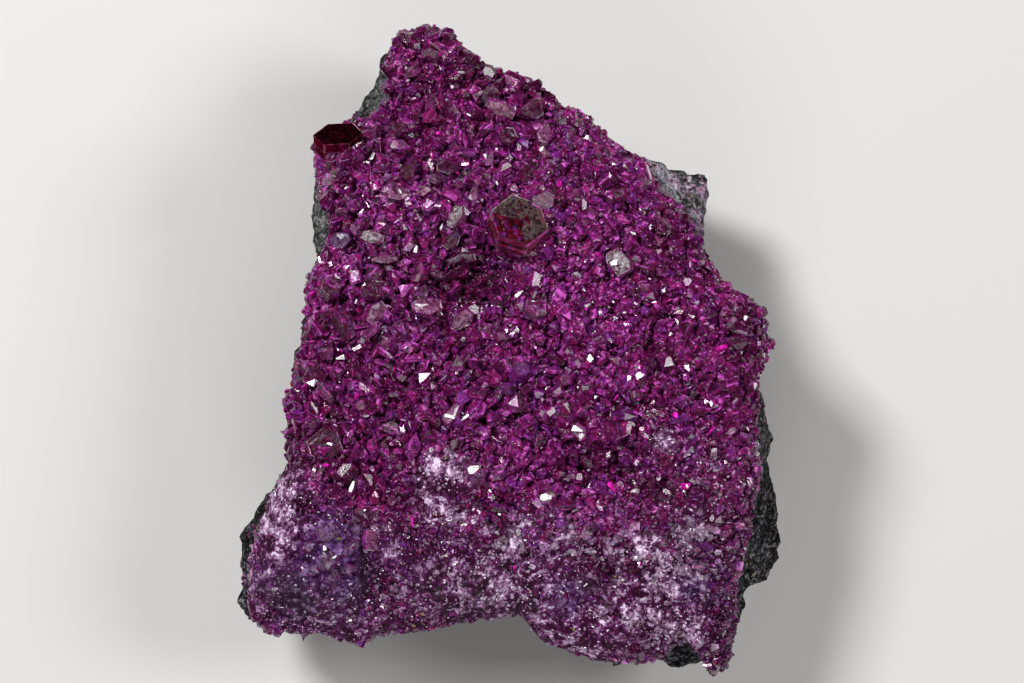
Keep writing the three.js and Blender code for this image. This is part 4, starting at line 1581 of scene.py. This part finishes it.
@dataclass
class FootDruse(Druse):
    """Crystals that straggle down the rock below the crust."""

    skin: tuple[Array, Array] = (np.empty(0), np.empty(0))
    count: int = 900
    reach: float = 1.3
    clump_seed: int = 61
    clump_size: float = 4.0

    def _places(self, rng: np.random.Generator) -> tuple[Array, Array]:
        """Places on the rock's skin, thinning out downwards.

        Args:
            rng: Source of chance.

        Returns:
            Centres and the directions out of the rock, as rows.
        """
        points, normals = self.skin
        below = below_crust(points)
        clumps = np.clip(Noise(self.clump_seed).cloud(points, self.clump_size, 3) + 0.25, 0, 1)
        chance = np.exp(-np.clip(below, 0, 30) / self.reach) * clumps * (below > -0.6)
        beside = FACE.share(points[:, 0], points[:, 1]) < 1.04
        chance = chance * (normals[:, 2] < 0.8) * (normals[:, 2] > -0.6) * beside
        spots = rng.choice(len(points), self.count, replace=False, p=chance / chance.sum())
        return points[spots], normals[spots]


@dataclass(frozen=True)
class Look:
    """How one kind of large crystal is built and coloured."""

    finish: CrystalFinish
    leaves: int
    tone: float
    side_tone: float
    # how much grey frosting, with a painted sheen, the crystals carry
    frost: float
    pale: float = 0.0
    # share of the narrow faces round the free end painted pale as a highlight
    edge: float = 0.45
    windows: float = 0.0
    cast: float = 0.5
    shine: float = 0.6


class Habit(Enum):
    """Kinds of large crystal."""

    LAYERED = Look(
        CrystalFinish(
            "layered crystal", clear=0.05, rough=0.25, gloss=0.12, painted_sparkle=0.15, glow=0.1, patch=1.6,
            night=(0.004, 0.0008, 0.0012), wine=(0.02, 0.001, 0.003), magenta=(0.08, 0.002, 0.014),
            hot=(0.3, 0.012, 0.1), rosy=(0.15, 0.001, 0.012), mauve=(0.062, 0.052, 0.05),
            slate=(0.06, 0.058, 0.05), smoke=(0.005, 0.004, 0.0045), pale=(0.36, 0.3, 0.32),
            rim=(0.3, 0.2, 0.25),
        ),
        leaves=6, tone=0.42, side_tone=0.55, frost=1.0, windows=0.35, cast=0.08, shine=1.6,
    )
    DARK = Look(
        CrystalFinish(
            "dark wine crystals", clear=0.0, rough=0.12, gloss=0.0, painted_sparkle=0.015, glow=0.1,
            night=(0.004, 0.0003, 0.0008), wine=(0.015, 0.0006, 0.003), magenta=(0.05, 0.001, 0.01),
            hot=(0.26, 0.005, 0.09), rosy=(0.07, 0.001, 0.006), violet=(0.04, 0.002, 0.03),
            pale=(0.42, 0.28, 0.34), rim=(0.3, 0.12, 0.17),
        ),
        leaves=3, tone=0.05, side_tone=0.4, frost=0.0, cast=0.05, shine=1.5,
    )
    SMOKY = Look(
        CrystalFinish(
            "smoky crystals", clear=0.25, rough=0.15, painted_sparkle=0.2,
            wine=(0.045, 0.003, 0.018), magenta=(0.1, 0.004, 0.05), hot=(0.25, 0.01, 0.16),
            mauve=(0.125, 0.058, 0.1), slate=(0.13, 0.092, 0.105), smoke=(0.03, 0.01, 0.02),
        ),
        leaves=3, tone=0.42, side_tone=0.42, frost=0.6, windows=0.3,
    )
    # Grey frosting with a bright painted sheen.
    FROSTED = Look(
        CrystalFinish(
            "grey frosted crystals", clear=0.1, rough=0.25,
            mauve=(0.4, 0.41, 0.39), slate=(0.48, 0.51, 0.47), smoke=(0.045, 0.035, 0.04),
        ),
        leaves=2, tone=0.35, side_tone=0.45, frost=0.85,
    )
    PEARLY = Look(
        CrystalFinish(
            "pearly crystals", clear=0.15, rough=0.18,
            mauve=(0.34, 0.2, 0.25), slate=(0.36, 0.28, 0.25), smoke=(0.1, 0.04, 0.065),
        ),
        leaves=2, tone=0.5, side_tone=0.5, frost=0.85,
    )
    CLEAR = Look(
        CrystalFinish("clear magenta crystals", clear=0.4, rough=0.08, glow=0.25, painted_sparkle=0.2),
        leaves=2, tone=0.5, side_tone=0.5, frost=0.1, edge=0.6,
    )
    VIOLET = Look(
        CrystalFinish(
            "violet crystals", clear=0.25, rough=0.12, gloss=0.15, painted_sparkle=0.2, patch=0.8,
            wine=(0.03, 0.003, 0.03), magenta=(0.085, 0.012, 0.085), hot=(0.22, 0.07, 0.24),
            flare=(0.5, 0.38, 0.6), mauve=(0.13, 0.055, 0.22), slate=(0.165, 0.09, 0.27),
            smoke=(0.035, 0.008, 0.055),
        ),
        leaves=2, tone=0.5, side_tone=0.5, frost=0.3, pale=0.12, edge=0.0,
    )
    PINK = Look(
        CrystalFinish(
            "pink crystals", clear=0.3, rough=0.1,
            mauve=(0.2, 0.06, 0.13), slate=(0.24, 0.12, 0.18), smoke=(0.07, 0.012, 0.04),
            pale=(0.55, 0.33, 0.48),
        ),
        leaves=2, tone=0.5, side_tone=0.5, frost=0.5, pale=0.12, edge=0.7,
    )


@dataclass(frozen=True)
class LargeCrystal:
    """One large, six-sided crystal: a tapering stack of leaves."""

    x: float
    y: float
    width: float
    thickness: float
    tilt: float
    heading: float
    turn: float
    lift: float
    slim: float = 1.0
    uneven: float = 0.6
    peak: float = 0.0
    hollow: float = 0.0

    ENDS = (-1.1, 0.5)  # buried and free end, in thicknesses from the middle
    REACH = 0.44  # of a side from the middle, in widths
    SHOULDER = 0.86  # size of the free end's second ring, as a share of its outline
    RAISED = 0.87  # rings smaller than this rise with the peak
    ROOT = 0.15  # how deep the middle is sunk

    def rings(self, leaves: int, rng: np.random.Generator) -> Array:
        """Rings of corners from the buried end to the free one.

        Args:
            leaves: Number of leaves.
            rng: Source of chance.

        Returns:
            Corners in millimetres, six to a ring and the tip last.
        """
        reaches = rng.uniform(self.uneven, 1.0, (1, 6))
        reaches /= reaches.mean()
        hexagon = CrystalShapes.hexagons(reaches)[0] * self.width * self.REACH
        hexagon[:, 1] *= self.slim
        levels = np.linspace(*self.ENDS, leaves + 1)
        rings = []
        for low, high in zip(levels, levels[1:]):
            taper = 1 - 0.4 * max(0.0, -0.2 - (low + high) / 2)
            flat = hexagon * taper * rng.uniform(0.95, 1.0)
            flat = flat + rng.normal(0, 0.008, (6, 2)) * self.width
            flat = flat + rng.normal(0, 0.012, 2) * self.width
            for level in (low, high):
                rings.append(np.column_stack([flat, np.full(6, level * self.thickness)]))
        brims = ((1 - 0.2 / self.width, 0.02, 0.0), (self.SHOULDER, 0.0, 0.0), (0.5, 0.0, 0.025))
        for share, drop, rough in brims:
            brim = rings[-1].copy()
            middle = brim.mean(axis=0)
            brim[:, :2] = middle[:2] + (brim[:, :2] - middle[:2]) * share
            brim[:, 2] += 0.3 * self.peak * self.width * (share < self.RAISED) - drop
            brim[:, 2] -= self.hollow * (share == self.SHOULDER)
            brim[:, 2] += rng.normal(0, rough, 6) * self.width * (0.4 + 2 * self.hollow)
            rings.append(brim)
        tip = brim.mean(axis=0, keepdims=True) + (0.08 * self.width, 0, 0.4 * self.peak * self.width)
        ground = FACE.top(np.array([self.x]), np.array([self.y]))[0]
        middle = np.array([self.x, self.y, ground + self.lift - self.ROOT])
        return np.concatenate([*rings, tip]) @ self._turned().T + middle

    def _turned(self) -> Array:
        """Works out the rotation that leans the crystal.

        Returns:
            The rotation, as a matrix.
        """
        lean, way, spin = (math.radians(angle) for angle in (self.tilt, self.heading, self.turn))
        axis = Vector((-math.sin(way), math.cos(way), 0.0))
        return np.array(Matrix.Rotation(lean, 3, axis) @ Matrix.Rotation(spin, 3, "Z"))


# Large crystals of each habit. A row is one crystal: x, y, width, thickness, tilt, heading, turn and
# lift, and then how slim, uneven, peaked and hollow it is where that isn't as usual.
LARGE = {
    Habit.LAYERED: (
        (0.35, 12.25, 6.1, 2.6, 32, 72, 13, 1.2, 1.0, 0.88, 0.0, 0.25),
    ),
    Habit.DARK: (
        (-17.6, 20.8, 5.1, 1.9, 60, 95, 30, 0.95, 1.0, 0.9),
    ),
    Habit.SMOKY: (
        (-17.6, 2.7, 4.2, 1.0, 62, 215, 125, 0.7, 0.8),
        (-19.0, -9.4, 4.2, 1.2, 26, 240, 15, 0.5, 0.85, 0.75),
        (-18.3, 6.0, 2.5, 1.2, 32, 70, 45, 0.5, 0.9),
        (-13.7, 19.6, 3.0, 0.9, 35, 190, 75, 0.5, 0.6),
        (-5.6, 9.2, 3.1, 1.0, 34, 275, 10, 0.5, 0.62, 0.6, 0.05),
        (-14.2, 6.1, 2.8, 1.0, 36, 40, 20, 0.6, 0.65, 0.5),
        (-6.4, 11.1, 2.2, 0.9, 30, 300, 50, 0.7, 0.8),
        (-20.0, -2.5, 3.0, 1.0, 38, 230, 35, 0.5, 0.7),
        (1.6, 24.0, 3.0, 1.0, 35, 20, 10, 0.6, 0.8),
        (-2.4, 25.6, 2.3, 0.9, 25, 260, 40, 0.7, 0.85),
        (1.3, 17.7, 2.8, 0.9, 32, 330, 70, 0.7, 0.65),
        (-6.6, 18.2, 2.5, 0.9, 36, 210, 5, 0.7, 0.55, 0.45),
        (-10.6, 18.1, 2.5, 1.1, 38, 250, 60, 0.7, 0.65, 0.45),
        (-0.8, 21.3, 2.3, 0.9, 33, 30, 25, 0.7, 0.75),
    ),
    Habit.FROSTED: (
        (-14.2, 11.0, 2.9, 0.8, 22, 90, -12, 0.6, 0.55, 0.5, 0.05),
        (-5.9, 13.4, 2.6, 1.1, 26, 150, 70, 0.5, 0.7, 0.6, 0.08),
        (10.7, 8.7, 3.9, 0.9, 27, 160, -65, 0.8, 0.55, 0.45, 0.06),
        (-8.0, 3.5, 1.2, 0.7, 25, 140, 20, 0.8, 0.7),
    ),
    Habit.CLEAR: (
        (10.0, -8.0, 3.4, 0.8, 24, 70, 0, 0.4, 0.85, 0.8),
        (-3.8, -4.3, 2.1, 0.8, 35, 80, 25, 0.4),
        (-18.3, 18.8, 1.7, 1.6, 40, 90, 10, 1.0, 0.7, 0.6, 0.5),
        (-17.0, 19.0, 1.9, 1.6, 35, 80, 40, 1.1, 0.7, 0.6, 0.5),
        (-15.9, 19.8, 1.5, 1.8, 40, 60, 25, 1.0, 0.6, 0.6, 0.5),
        (-1.6, 11.4, 2.6, 1.2, 40, 200, 20, 0.7, 0.7, 0.6, 0.1),
        (-0.9, 10.0, 2.2, 1.0, 35, 260, 60, 0.8, 0.7, 0.6, 0.15),
        (-16.0, 14.6, 2.0, 1.4, 30, 200, 10, 0.6, 0.7, 0.6, 0.3),
    ),
    Habit.PEARLY: (
        (-1.3, 24.0, 3.5, 0.8, 30, 245, -28, 0.7, 0.45, 0.5, 0.08),
        (-13.0, 9.3, 2.6, 0.8, 30, 280, 5, 0.6, 0.45, 0.5, 0.06),
        (2.7, 19.9, 1.9, 0.8, 30, 20, 110, 0.6, 0.55, 0.6, 0.1),
        (-9.0, 15.9, 2.2, 1.0, 32, 160, 10, 0.6, 0.6, 0.6, 0.1),
    ),
    Habit.PINK: (
        (-11.6, 15.3, 2.6, 1.1, 30, 60, 10, 0.5, 0.6, 0.6, 0.12),
        (-8.8, 4.3, 3.2, 1.1, 22, 95, 10, 0.6, 0.75, 0.65, 0.1),
        (-13.0, 0.7, 2.5, 0.9, 40, 200, 65, 0.5, 0.6, 0.6, 0.1),
        (-4.0, 15.6, 2.4, 0.9, 35, 180, 80, 0.5, 0.55, 0.6, 0.1),
        (-6.2, -6.4, 2.7, 0.9, 33, 140, 55, 0.5, 0.6, 0.6, 0.08),
        (6.4, -8.1, 2.8, 0.9, 30, 130, -60, 0.5, 0.55, 0.6, 0.08),
        (3.1, -14.6, 2.2, 0.9, 20, 40, 30, 0.4, 0.8, 0.6, 0.1),
        (-14.6, -19.0, 3.4, 0.9, 25, 350, 82, 0.3, 0.45, 0.5, 0.08),
        (-14.0, 3.6, 2.8, 1.0, 30, 350, 45, 0.6, 0.75, 0.6, 0.1),
        (2.9, 21.7, 2.6, 0.9, 30, 60, 80, 0.7, 0.7, 0.6, 0.1),
        (-5.4, 3.0, 2.7, 0.9, 27, 280, 50, 0.6, 0.75, 0.6, 0.1),
    ),
    Habit.VIOLET: (
        (-18.9, -18.6, 2.6, 1.6, 30, 40, 10, -0.3, 0.8, 0.7, 0.25),
        (-17.1, -19.6, 2.4, 1.6, 42, 330, 50, -0.3, 0.75, 0.7, 0.35),
        (-18.7, -20.9, 2.8, 1.8, 24, 200, 25, -0.4, 0.8, 0.7, 0.25),
        (-16.9, -21.6, 2.0, 1.4, 45, 280, 5, -0.3, 0.8, 0.7, 0.35),
        (-18.2, -22.9, 2.3, 1.5, 32, 120, 70, -0.4, 0.8, 0.7, 0.25),
        (-20.0, -22.2, 1.8, 1.2, 40, 170, 0, -0.3, 0.8, 0.7, 0.3),
        (-16.2, -18.2, 1.6, 1.2, 35, 20, 30, -0.25, 0.8, 0.7, 0.3),
        (-20.4, -19.8, 1.7, 1.2, 38, 150, 60, -0.3, 0.8, 0.7, 0.3),
        (5.0, -25.0, 2.2, 1.4, 35, 200, 70, -0.1, 0.6, 0.7, 0.1),
        (-17.2, 11.1, 2.3, 1.2, 20, 200, 20, 0.5, 0.85, 0.7, 0.1),
    ),
}


@dataclass
class LargeCrystals:
    """The large crystals of one habit."""

    habit: Habit
    seed: int = 71

    LEAF_WAY = (1.3, 0.9, 2.1)  # across the leaves
    BRIMS = 3  # rings of the free end, inside its outline
    END_CORNERS = 24  # of the faces that close the two ends

    def build(self) -> bpy.types.Object:
        """Makes the crystals as one object.

        Returns:
            The object.
        """
        look = self.habit.value
        rng = np.random.default_rng(self.seed)
        crystals = [LargeCrystal(*row).rings(look.leaves, rng) for row in LARGE[self.habit]]
        points = np.concatenate(crystals)
        rings = len(crystals[0]) // 6
        level = np.repeat(np.arange(rings - 1), 6)
        leaf = (level < rings - 1 - self.BRIMS)[:, None]
        faces = self._faces(rings, range(0, len(points), len(crystals[0])))
        name = f"large_{self.habit.name.lower()}_crystals"
        piece = make_piece(name, points, faces, look.finish.material())
        store(piece, "POINT", along=points @ np.array(self.LEAF_WAY))
        blank = np.full(self.END_CORNERS, 0.5)
        across = np.concatenate([np.where(leaf, (0.0, 1.0, 1.0, 0.0), 0.5).ravel(), blank])
        up = np.concatenate([np.where(leaf, (0.0, 0.0, 1.0, 1.0), 0.5).ravel(), blank])
        store(piece, "CORNER", across=np.tile(across, len(crystals)), up=np.tile(up, len(crystals)))
        edge = np.append(level == rings - 1 - self.BRIMS, [False] * 7)
        end = np.append(level > rings - 1 - self.BRIMS, [True] * 6 + [False])
        self._dress(piece, np.tile(edge, len(crystals)), np.tile(end, len(crystals)), rng)
        spread_faces(piece)
        return piece

    @staticmethod
    def _faces(rings: int, starts: Sequence[int]) -> list[list[int]]:
        """Joins the rings of every crystal and closes its two ends.

        Args:
            rings: Rings to a crystal.
            starts: Number of each crystal's first point.

        Returns:
            Point numbers of each face.
        """
        faces = []
        for start in starts:
            for low in range(start, start + 6 * (rings - 1), 6):
                for k in range(6):
                    faces.append([low + k, low + (k + 1) % 6, low + 6 + (k + 1) % 6, low + 6 + k])
            last = start + 6 * (rings - 1)
            faces += [[last + 6, last + k, last + (k + 1) % 6] for k in range(6)]
            faces.append([start + 5 - k for k in range(6)])
        return faces

    def _dress(self, piece: bpy.types.Object, edge: Array, end: Array, rng: np.random.Generator) -> None:
        """Stores each face's tone and painted shading, its grey frosting with painted sheen, and how pale
        it is.

        Args:
            piece: The crystals.
            edge: Which faces are the narrow ones round the free end.
            end: Which belong to the free end itself.
            rng: Source of chance.
        """
        look, count = self.habit.value, len(end)
        spread = 0.14 - 0.09 * end
        tone = np.where(end, look.tone, look.side_tone) + rng.normal(0, 1, count) * spread
        frost = np.clip(look.frost * (0.25 + 0.75 * end), 0, 1) * ~edge
        frost = frost * np.where(end & (rng.random(count) < look.windows), 0.0, 1.0)
        pale = np.where(end, look.pale, 0.0) * rng.uniform(0.5, 1.3, count)
        store(
            piece,
            "FACE",
            # the narrow faces round the free end are painted lighter, and some pale, as highlights
            facet=np.clip(tone + 0.15 * edge, 0, 1),
            cast=np.where(rng.random(count) < 0.75, look.cast, 0.5),
            frost=frost,
            pale=np.where(edge, look.edge * (rng.random(count) < 0.35), pale),
            shine=look.shine * rng.random(count) ** 0.5,
            slant=rng.normal(0, 0.2, count),
        )


@dataclass(frozen=True)
class PaintedGlowFinish:
    """Faces painted hot magenta, a painted glow standing in for light passing through clear crystal."""

    low: Colour = (0.3, 0.002, 0.14)
    high: Colour = (0.82, 0.025, 0.52)

    def material(self) -> bpy.types.Material:
        """Makes the material.

        Returns:
            The material.
        """
        shader = Shader("hot magenta faces")
        cloud = shader.noise(0.4, 3.0, 0.7)
        return shader.surface(
            Base_Color=shader.mix(cloud.step(0.4, 0.62), self.low, self.high), Roughness=0.12, IOR=1.5
        )


@dataclass
class Glints:
    """Small faces turned to mirror the main light and painted bright as glints, or painted with a hot
    glow of light passing through them.
    """

    name: str = "bright_faces"
    places: tuple[tuple[float, float, float], ...] = (
        (-9.9, 9.9, 1.3), (10.6, 8.8, 2.3), (11.8, 11.6, 1.0), (-6.6, -6.6, 1.9), (-4.8, -6.8, 1.1),
        (6.4, -8.0, 1.9), (-17.3, -0.7, 1.7), (-16.4, -14.0, 1.6), (-5.4, 27.8, 1.2),
        (-3.0, 19.4, 0.8), (-1.7, 16.7, 0.6), (-4.6, 23.5, 0.7), (2.7, 20.0, 1.0),
        (-7.4, 3.6, 0.8), (-11.4, 15.9, 1.2), (6.9, 6.0, 0.6), (23.0, 3.2, 0.8), (3.0, -14.7, 1.3),
        (-19.2, -19.8, 0.8), (-18.2, -20.7, 0.9), (13.0, 18.7, 0.8), (-15.8, 4.8, 0.7),
        (-11.0, 0.2, 0.7), (-4.2, -16.0, 0.6), (17.2, -13.7, 0.6), (8.0, -4.6, 0.5),
    )
    rise: float = 0.75
    standing: float = 0.2
    sunk_in_sugar: float = 0.55
    inside: float = 0.97
    least: float = 0.16
    spread: float = 0.4
    scattered: int = 130
    seed: int = 91
    wander: float = 0.012
    root: float = 1.0
    finish: PaintedGlintFinish | PaintedGlowFinish = field(default_factory=PaintedGlintFinish)

    def build(self) -> bpy.types.Object:
        """Makes the faces.

        Returns:
            The object.
        """
        rng = np.random.default_rng(self.seed)
        x, y, widths = np.array(self.places).T
        angle, share = rng.uniform(-math.pi, math.pi, self.scattered), rng.random(self.scattered)
        reach = self.inside * np.sqrt(share) * CRUST_EDGE.reach(angle)
        x, y = np.append(x, reach * np.cos(angle)), np.append(y, reach * np.sin(angle))
        widths = np.append(widths, self.least + self.spread * rng.random(self.scattered) ** 3)
        sugary = Zone.FINE.cover(x, y) * (1 - Zone.VIOLET.cover(x, y))
        rise = self.rise * (1 - self.sunk_in_sugar * sugary)
        rise[: len(self.places)] += self.standing
        centres = np.stack([x, y, FACE.top(x, y) + rise], axis=1)
        axes = unit(MIRRORED + rng.normal(0, self.wander, (len(x), 3)))
        shapes = CrystalShapes(
            centres - axes * self.root / 2, axes, 1.15 * widths, 0.3 * widths + self.root, rng,
            uneven=0.45, end_least=0.8, end_most=0.95, peak=0.1, slim=0.25, broad=0.7,
        )
        piece = shapes.build(self.name, self.finish.material())
        store(piece, "FACE", end=np.tile([1.0] * 6 + [0.0] * 12 + [1.0], len(x)))
        return piece


# Places and sizes of the faces painted with a hot magenta glow.
PAINTED_GLOW_PLACES = (
    (-5.0, 18.5, 1.2), (16.0, -6.5, 0.9), (17.3, -13.7, 1.0), (21.1, 0.3, 0.8), (-13.9, 16.6, 0.8),
    (-16.6, 19.4, 0.8), (9.6, -13.5, 1.0), (-12.0, -2.0, 0.9), (-20.3, 5.6, 0.8), (-19.0, -11.6, 0.7),
    (12.4, -1.8, 0.8), (7.0, 4.2, 0.8), (-0.6, -1.8, 0.9), (4.4, 16.8, 0.9), (14.0, 4.6, 0.8),
    (-9.6, 8.0, 0.8), (3.2, -6.2, 0.8), (-7.6, 21.8, 0.8), (19.4, -8.2, 0.9), (-16.0, -4.6, 0.8),
    (-2.2, 12.0, 0.7), (10.2, -4.6, 0.7), (-21.0, -3.6, 0.7), (-6.0, 1.0, 0.7),
)


# ---------------------------------------------------------------- studio


@dataclass(frozen=True)
class Softbox:
    """One square soft light."""

    name: str
    place: tuple[float, float, float]
    side: float
    power: float

    def build(self, target: Vector) -> bpy.types.Object:
        """Sets up the light.

        Args:
            target: Point it faces.

        Returns:
            The light.
        """
        lamp = bpy.data.lights.new(self.name, "AREA")
        lamp.size = self.side
        lamp.energy = self.power
        light = bpy.data.objects.new(self.name, lamp)
        bpy.context.collection.objects.link(light)
        light.location = self.place
        light.rotation_euler = (target - Vector(self.place)).to_track_quat("-Z", "Y").to_euler()
        return light


@dataclass
class Studio:
    """Pale floor, soft lights and the camera above the specimen."""

    floor_side: float = 3.0
    lens: float = 200.0
    camera_place: tuple[float, float, float] = (0.0, 0.00085, 0.591)
    boxes: tuple[Softbox, ...] = (
        Softbox("key_light", KEY_PLACE, 0.16, 5.2),
        Softbox("fill_light", (0.5, 0.1, 0.5), 0.25, 2.8),
        Softbox("front_light", (0.0, -0.7, 0.45), 0.4, 2.6),
    )
    aim: tuple[float, float, float] = (0.0, 0.0, 0.01)
    sensor: float = 36.0
    nearest: float = 0.01
    ambient: float = 0.1
    ambient_colour: Colour = (0.9, 0.9, 0.92)
    finish: FloorFinish = field(default_factory=FloorFinish)

    def build(self) -> None:
        """Sets up the floor, lights, surroundings and camera."""
        half = self.floor_side / 2 / MILLIMETRE
        corners = half * np.array([[-1, -1, 0], [1, -1, 0], [1, 1, 0], [-1, 1, 0]])
        make_piece("floor", corners, [[0, 1, 2, 3]], self.finish.material())
        for box in self.boxes:
            box.build(Vector(self.aim))
        world = bpy.data.worlds.new("surroundings")
        world.use_nodes = True
        glow = world.node_tree.nodes["Background"].inputs
        glow["Color"].default_value = (*self.ambient_colour, 1.0)
        glow["Strength"].default_value = self.ambient
        bpy.context.scene.world = world
        bpy.context.scene.view_settings.view_transform = "Standard"
        camera_data = bpy.data.cameras.new("camera")
        camera_data.lens = self.lens
        camera_data.sensor_width = self.sensor
        camera_data.clip_start = self.nearest
        camera = bpy.data.objects.new("camera", camera_data)
        camera.location = self.camera_place
        bpy.context.collection.objects.link(camera)
        bpy.context.scene.camera = camera


def place_piece(piece: bpy.types.Object, node: str) -> None:
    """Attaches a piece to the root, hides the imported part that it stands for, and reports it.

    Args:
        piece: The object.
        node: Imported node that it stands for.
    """
    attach(piece, "root")
    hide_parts(node)
    log.info("%s: %d faces", piece.name, len(piece.data.polygons))


def main() -> None:
    """Builds the specimen and its studio."""
    logging.basicConfig(level=logging.INFO, format="%(name)s %(message)s")
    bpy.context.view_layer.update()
    Studio().build()
    rock = Rock()
    place_piece(rock.build(), rock.node)
    crust = (
        CrustBed(),
        Druse("crystals_coarse", 31, 1.45, (1.5, 3.1), (0.15, 0.5), (-1.0, 0.3),
              CrystalFinish("coarse crystals", 0.45), sink=-0.12, brightness=0.5, frosted=0.42,
              tilt=(30.0, 88.0), fewer_right=0.6),
        Druse("crystals_middle", 32, 0.95, (0.9, 1.9), (0.2, 0.6), (-1.0, 0.62),
              CrystalFinish("middle crystals", 0.45), brightness=0.52, frosted=0.3,
              tilt=(30.0, 90.0), fewer_right=0.5),
        Druse("crystals_round", 39, 1.2, (1.0, 2.1), (0.5, 0.95), (-1.0, 0.75),
              CrystalFinish("rounded crystals", 0.4), sink=0.05, brightness=0.56, frosted=0.2,
              tilt=(5.0, 75.0), fewer_left=1.0),
        Druse("crystal_blades", 37, 0.95, (0.5, 1.3), (0.08, 0.25), (-1.0, 0.4),
              CrystalFinish("blade crystals", 0.3), sink=-0.05, brightness=0.55, frosted=0.3,
              tilt=(60.0, 90.0), fewer_right=0.9, fewer_left=0.3),
        Druse("crystals_small", 33, 0.72, (0.5, 1.25), (0.25, 0.8), (0.08, 2.0),
              CrystalFinish("small crystals"), brightness=0.5, frosted=0.2, thinning=0.75),
        Druse("crystals_fine", 34, 0.43, (0.25, 0.62), (0.3, 0.9), (0.55, 2.0),
              CrystalFinish("fine crystals"), brightness=0.5, frosted=0.2, thinning=0.35),
        RimDruse("crystals_rim", 35, 1.0, (0.7, 1.7), (0.3, 0.9), EVERYWHERE,
                 CrystalFinish("rim crystals"), sink=0.0, brightness=0.46, frosted=0.1),
        RimDruse("crystals_rim_fine", 36, 1.0, (0.3, 0.85), (0.3, 0.9), EVERYWHERE,
                 CrystalFinish("fine rim crystals"), brightness=0.42, frosted=0.1, count=1800),
        FootDruse("crystals_foot", 38, 1.0, (0.3, 1.0), (0.25, 0.8), EVERYWHERE,
                  CrystalFinish("straggling crystals"), brightness=0.42, frosted=0.25, skin=rock.skin),
        *(LargeCrystals(habit) for habit in LARGE),
        Glints(),
        Glints("hot_faces", PAINTED_GLOW_PLACES, rise=0.45, scattered=60, seed=92, wander=0.3, finish=PaintedGlowFinish()),
    )
    for part in crust:
        place_piece(part.build(), "kammererite_crust")


if __name__ == "__main__":
    main()
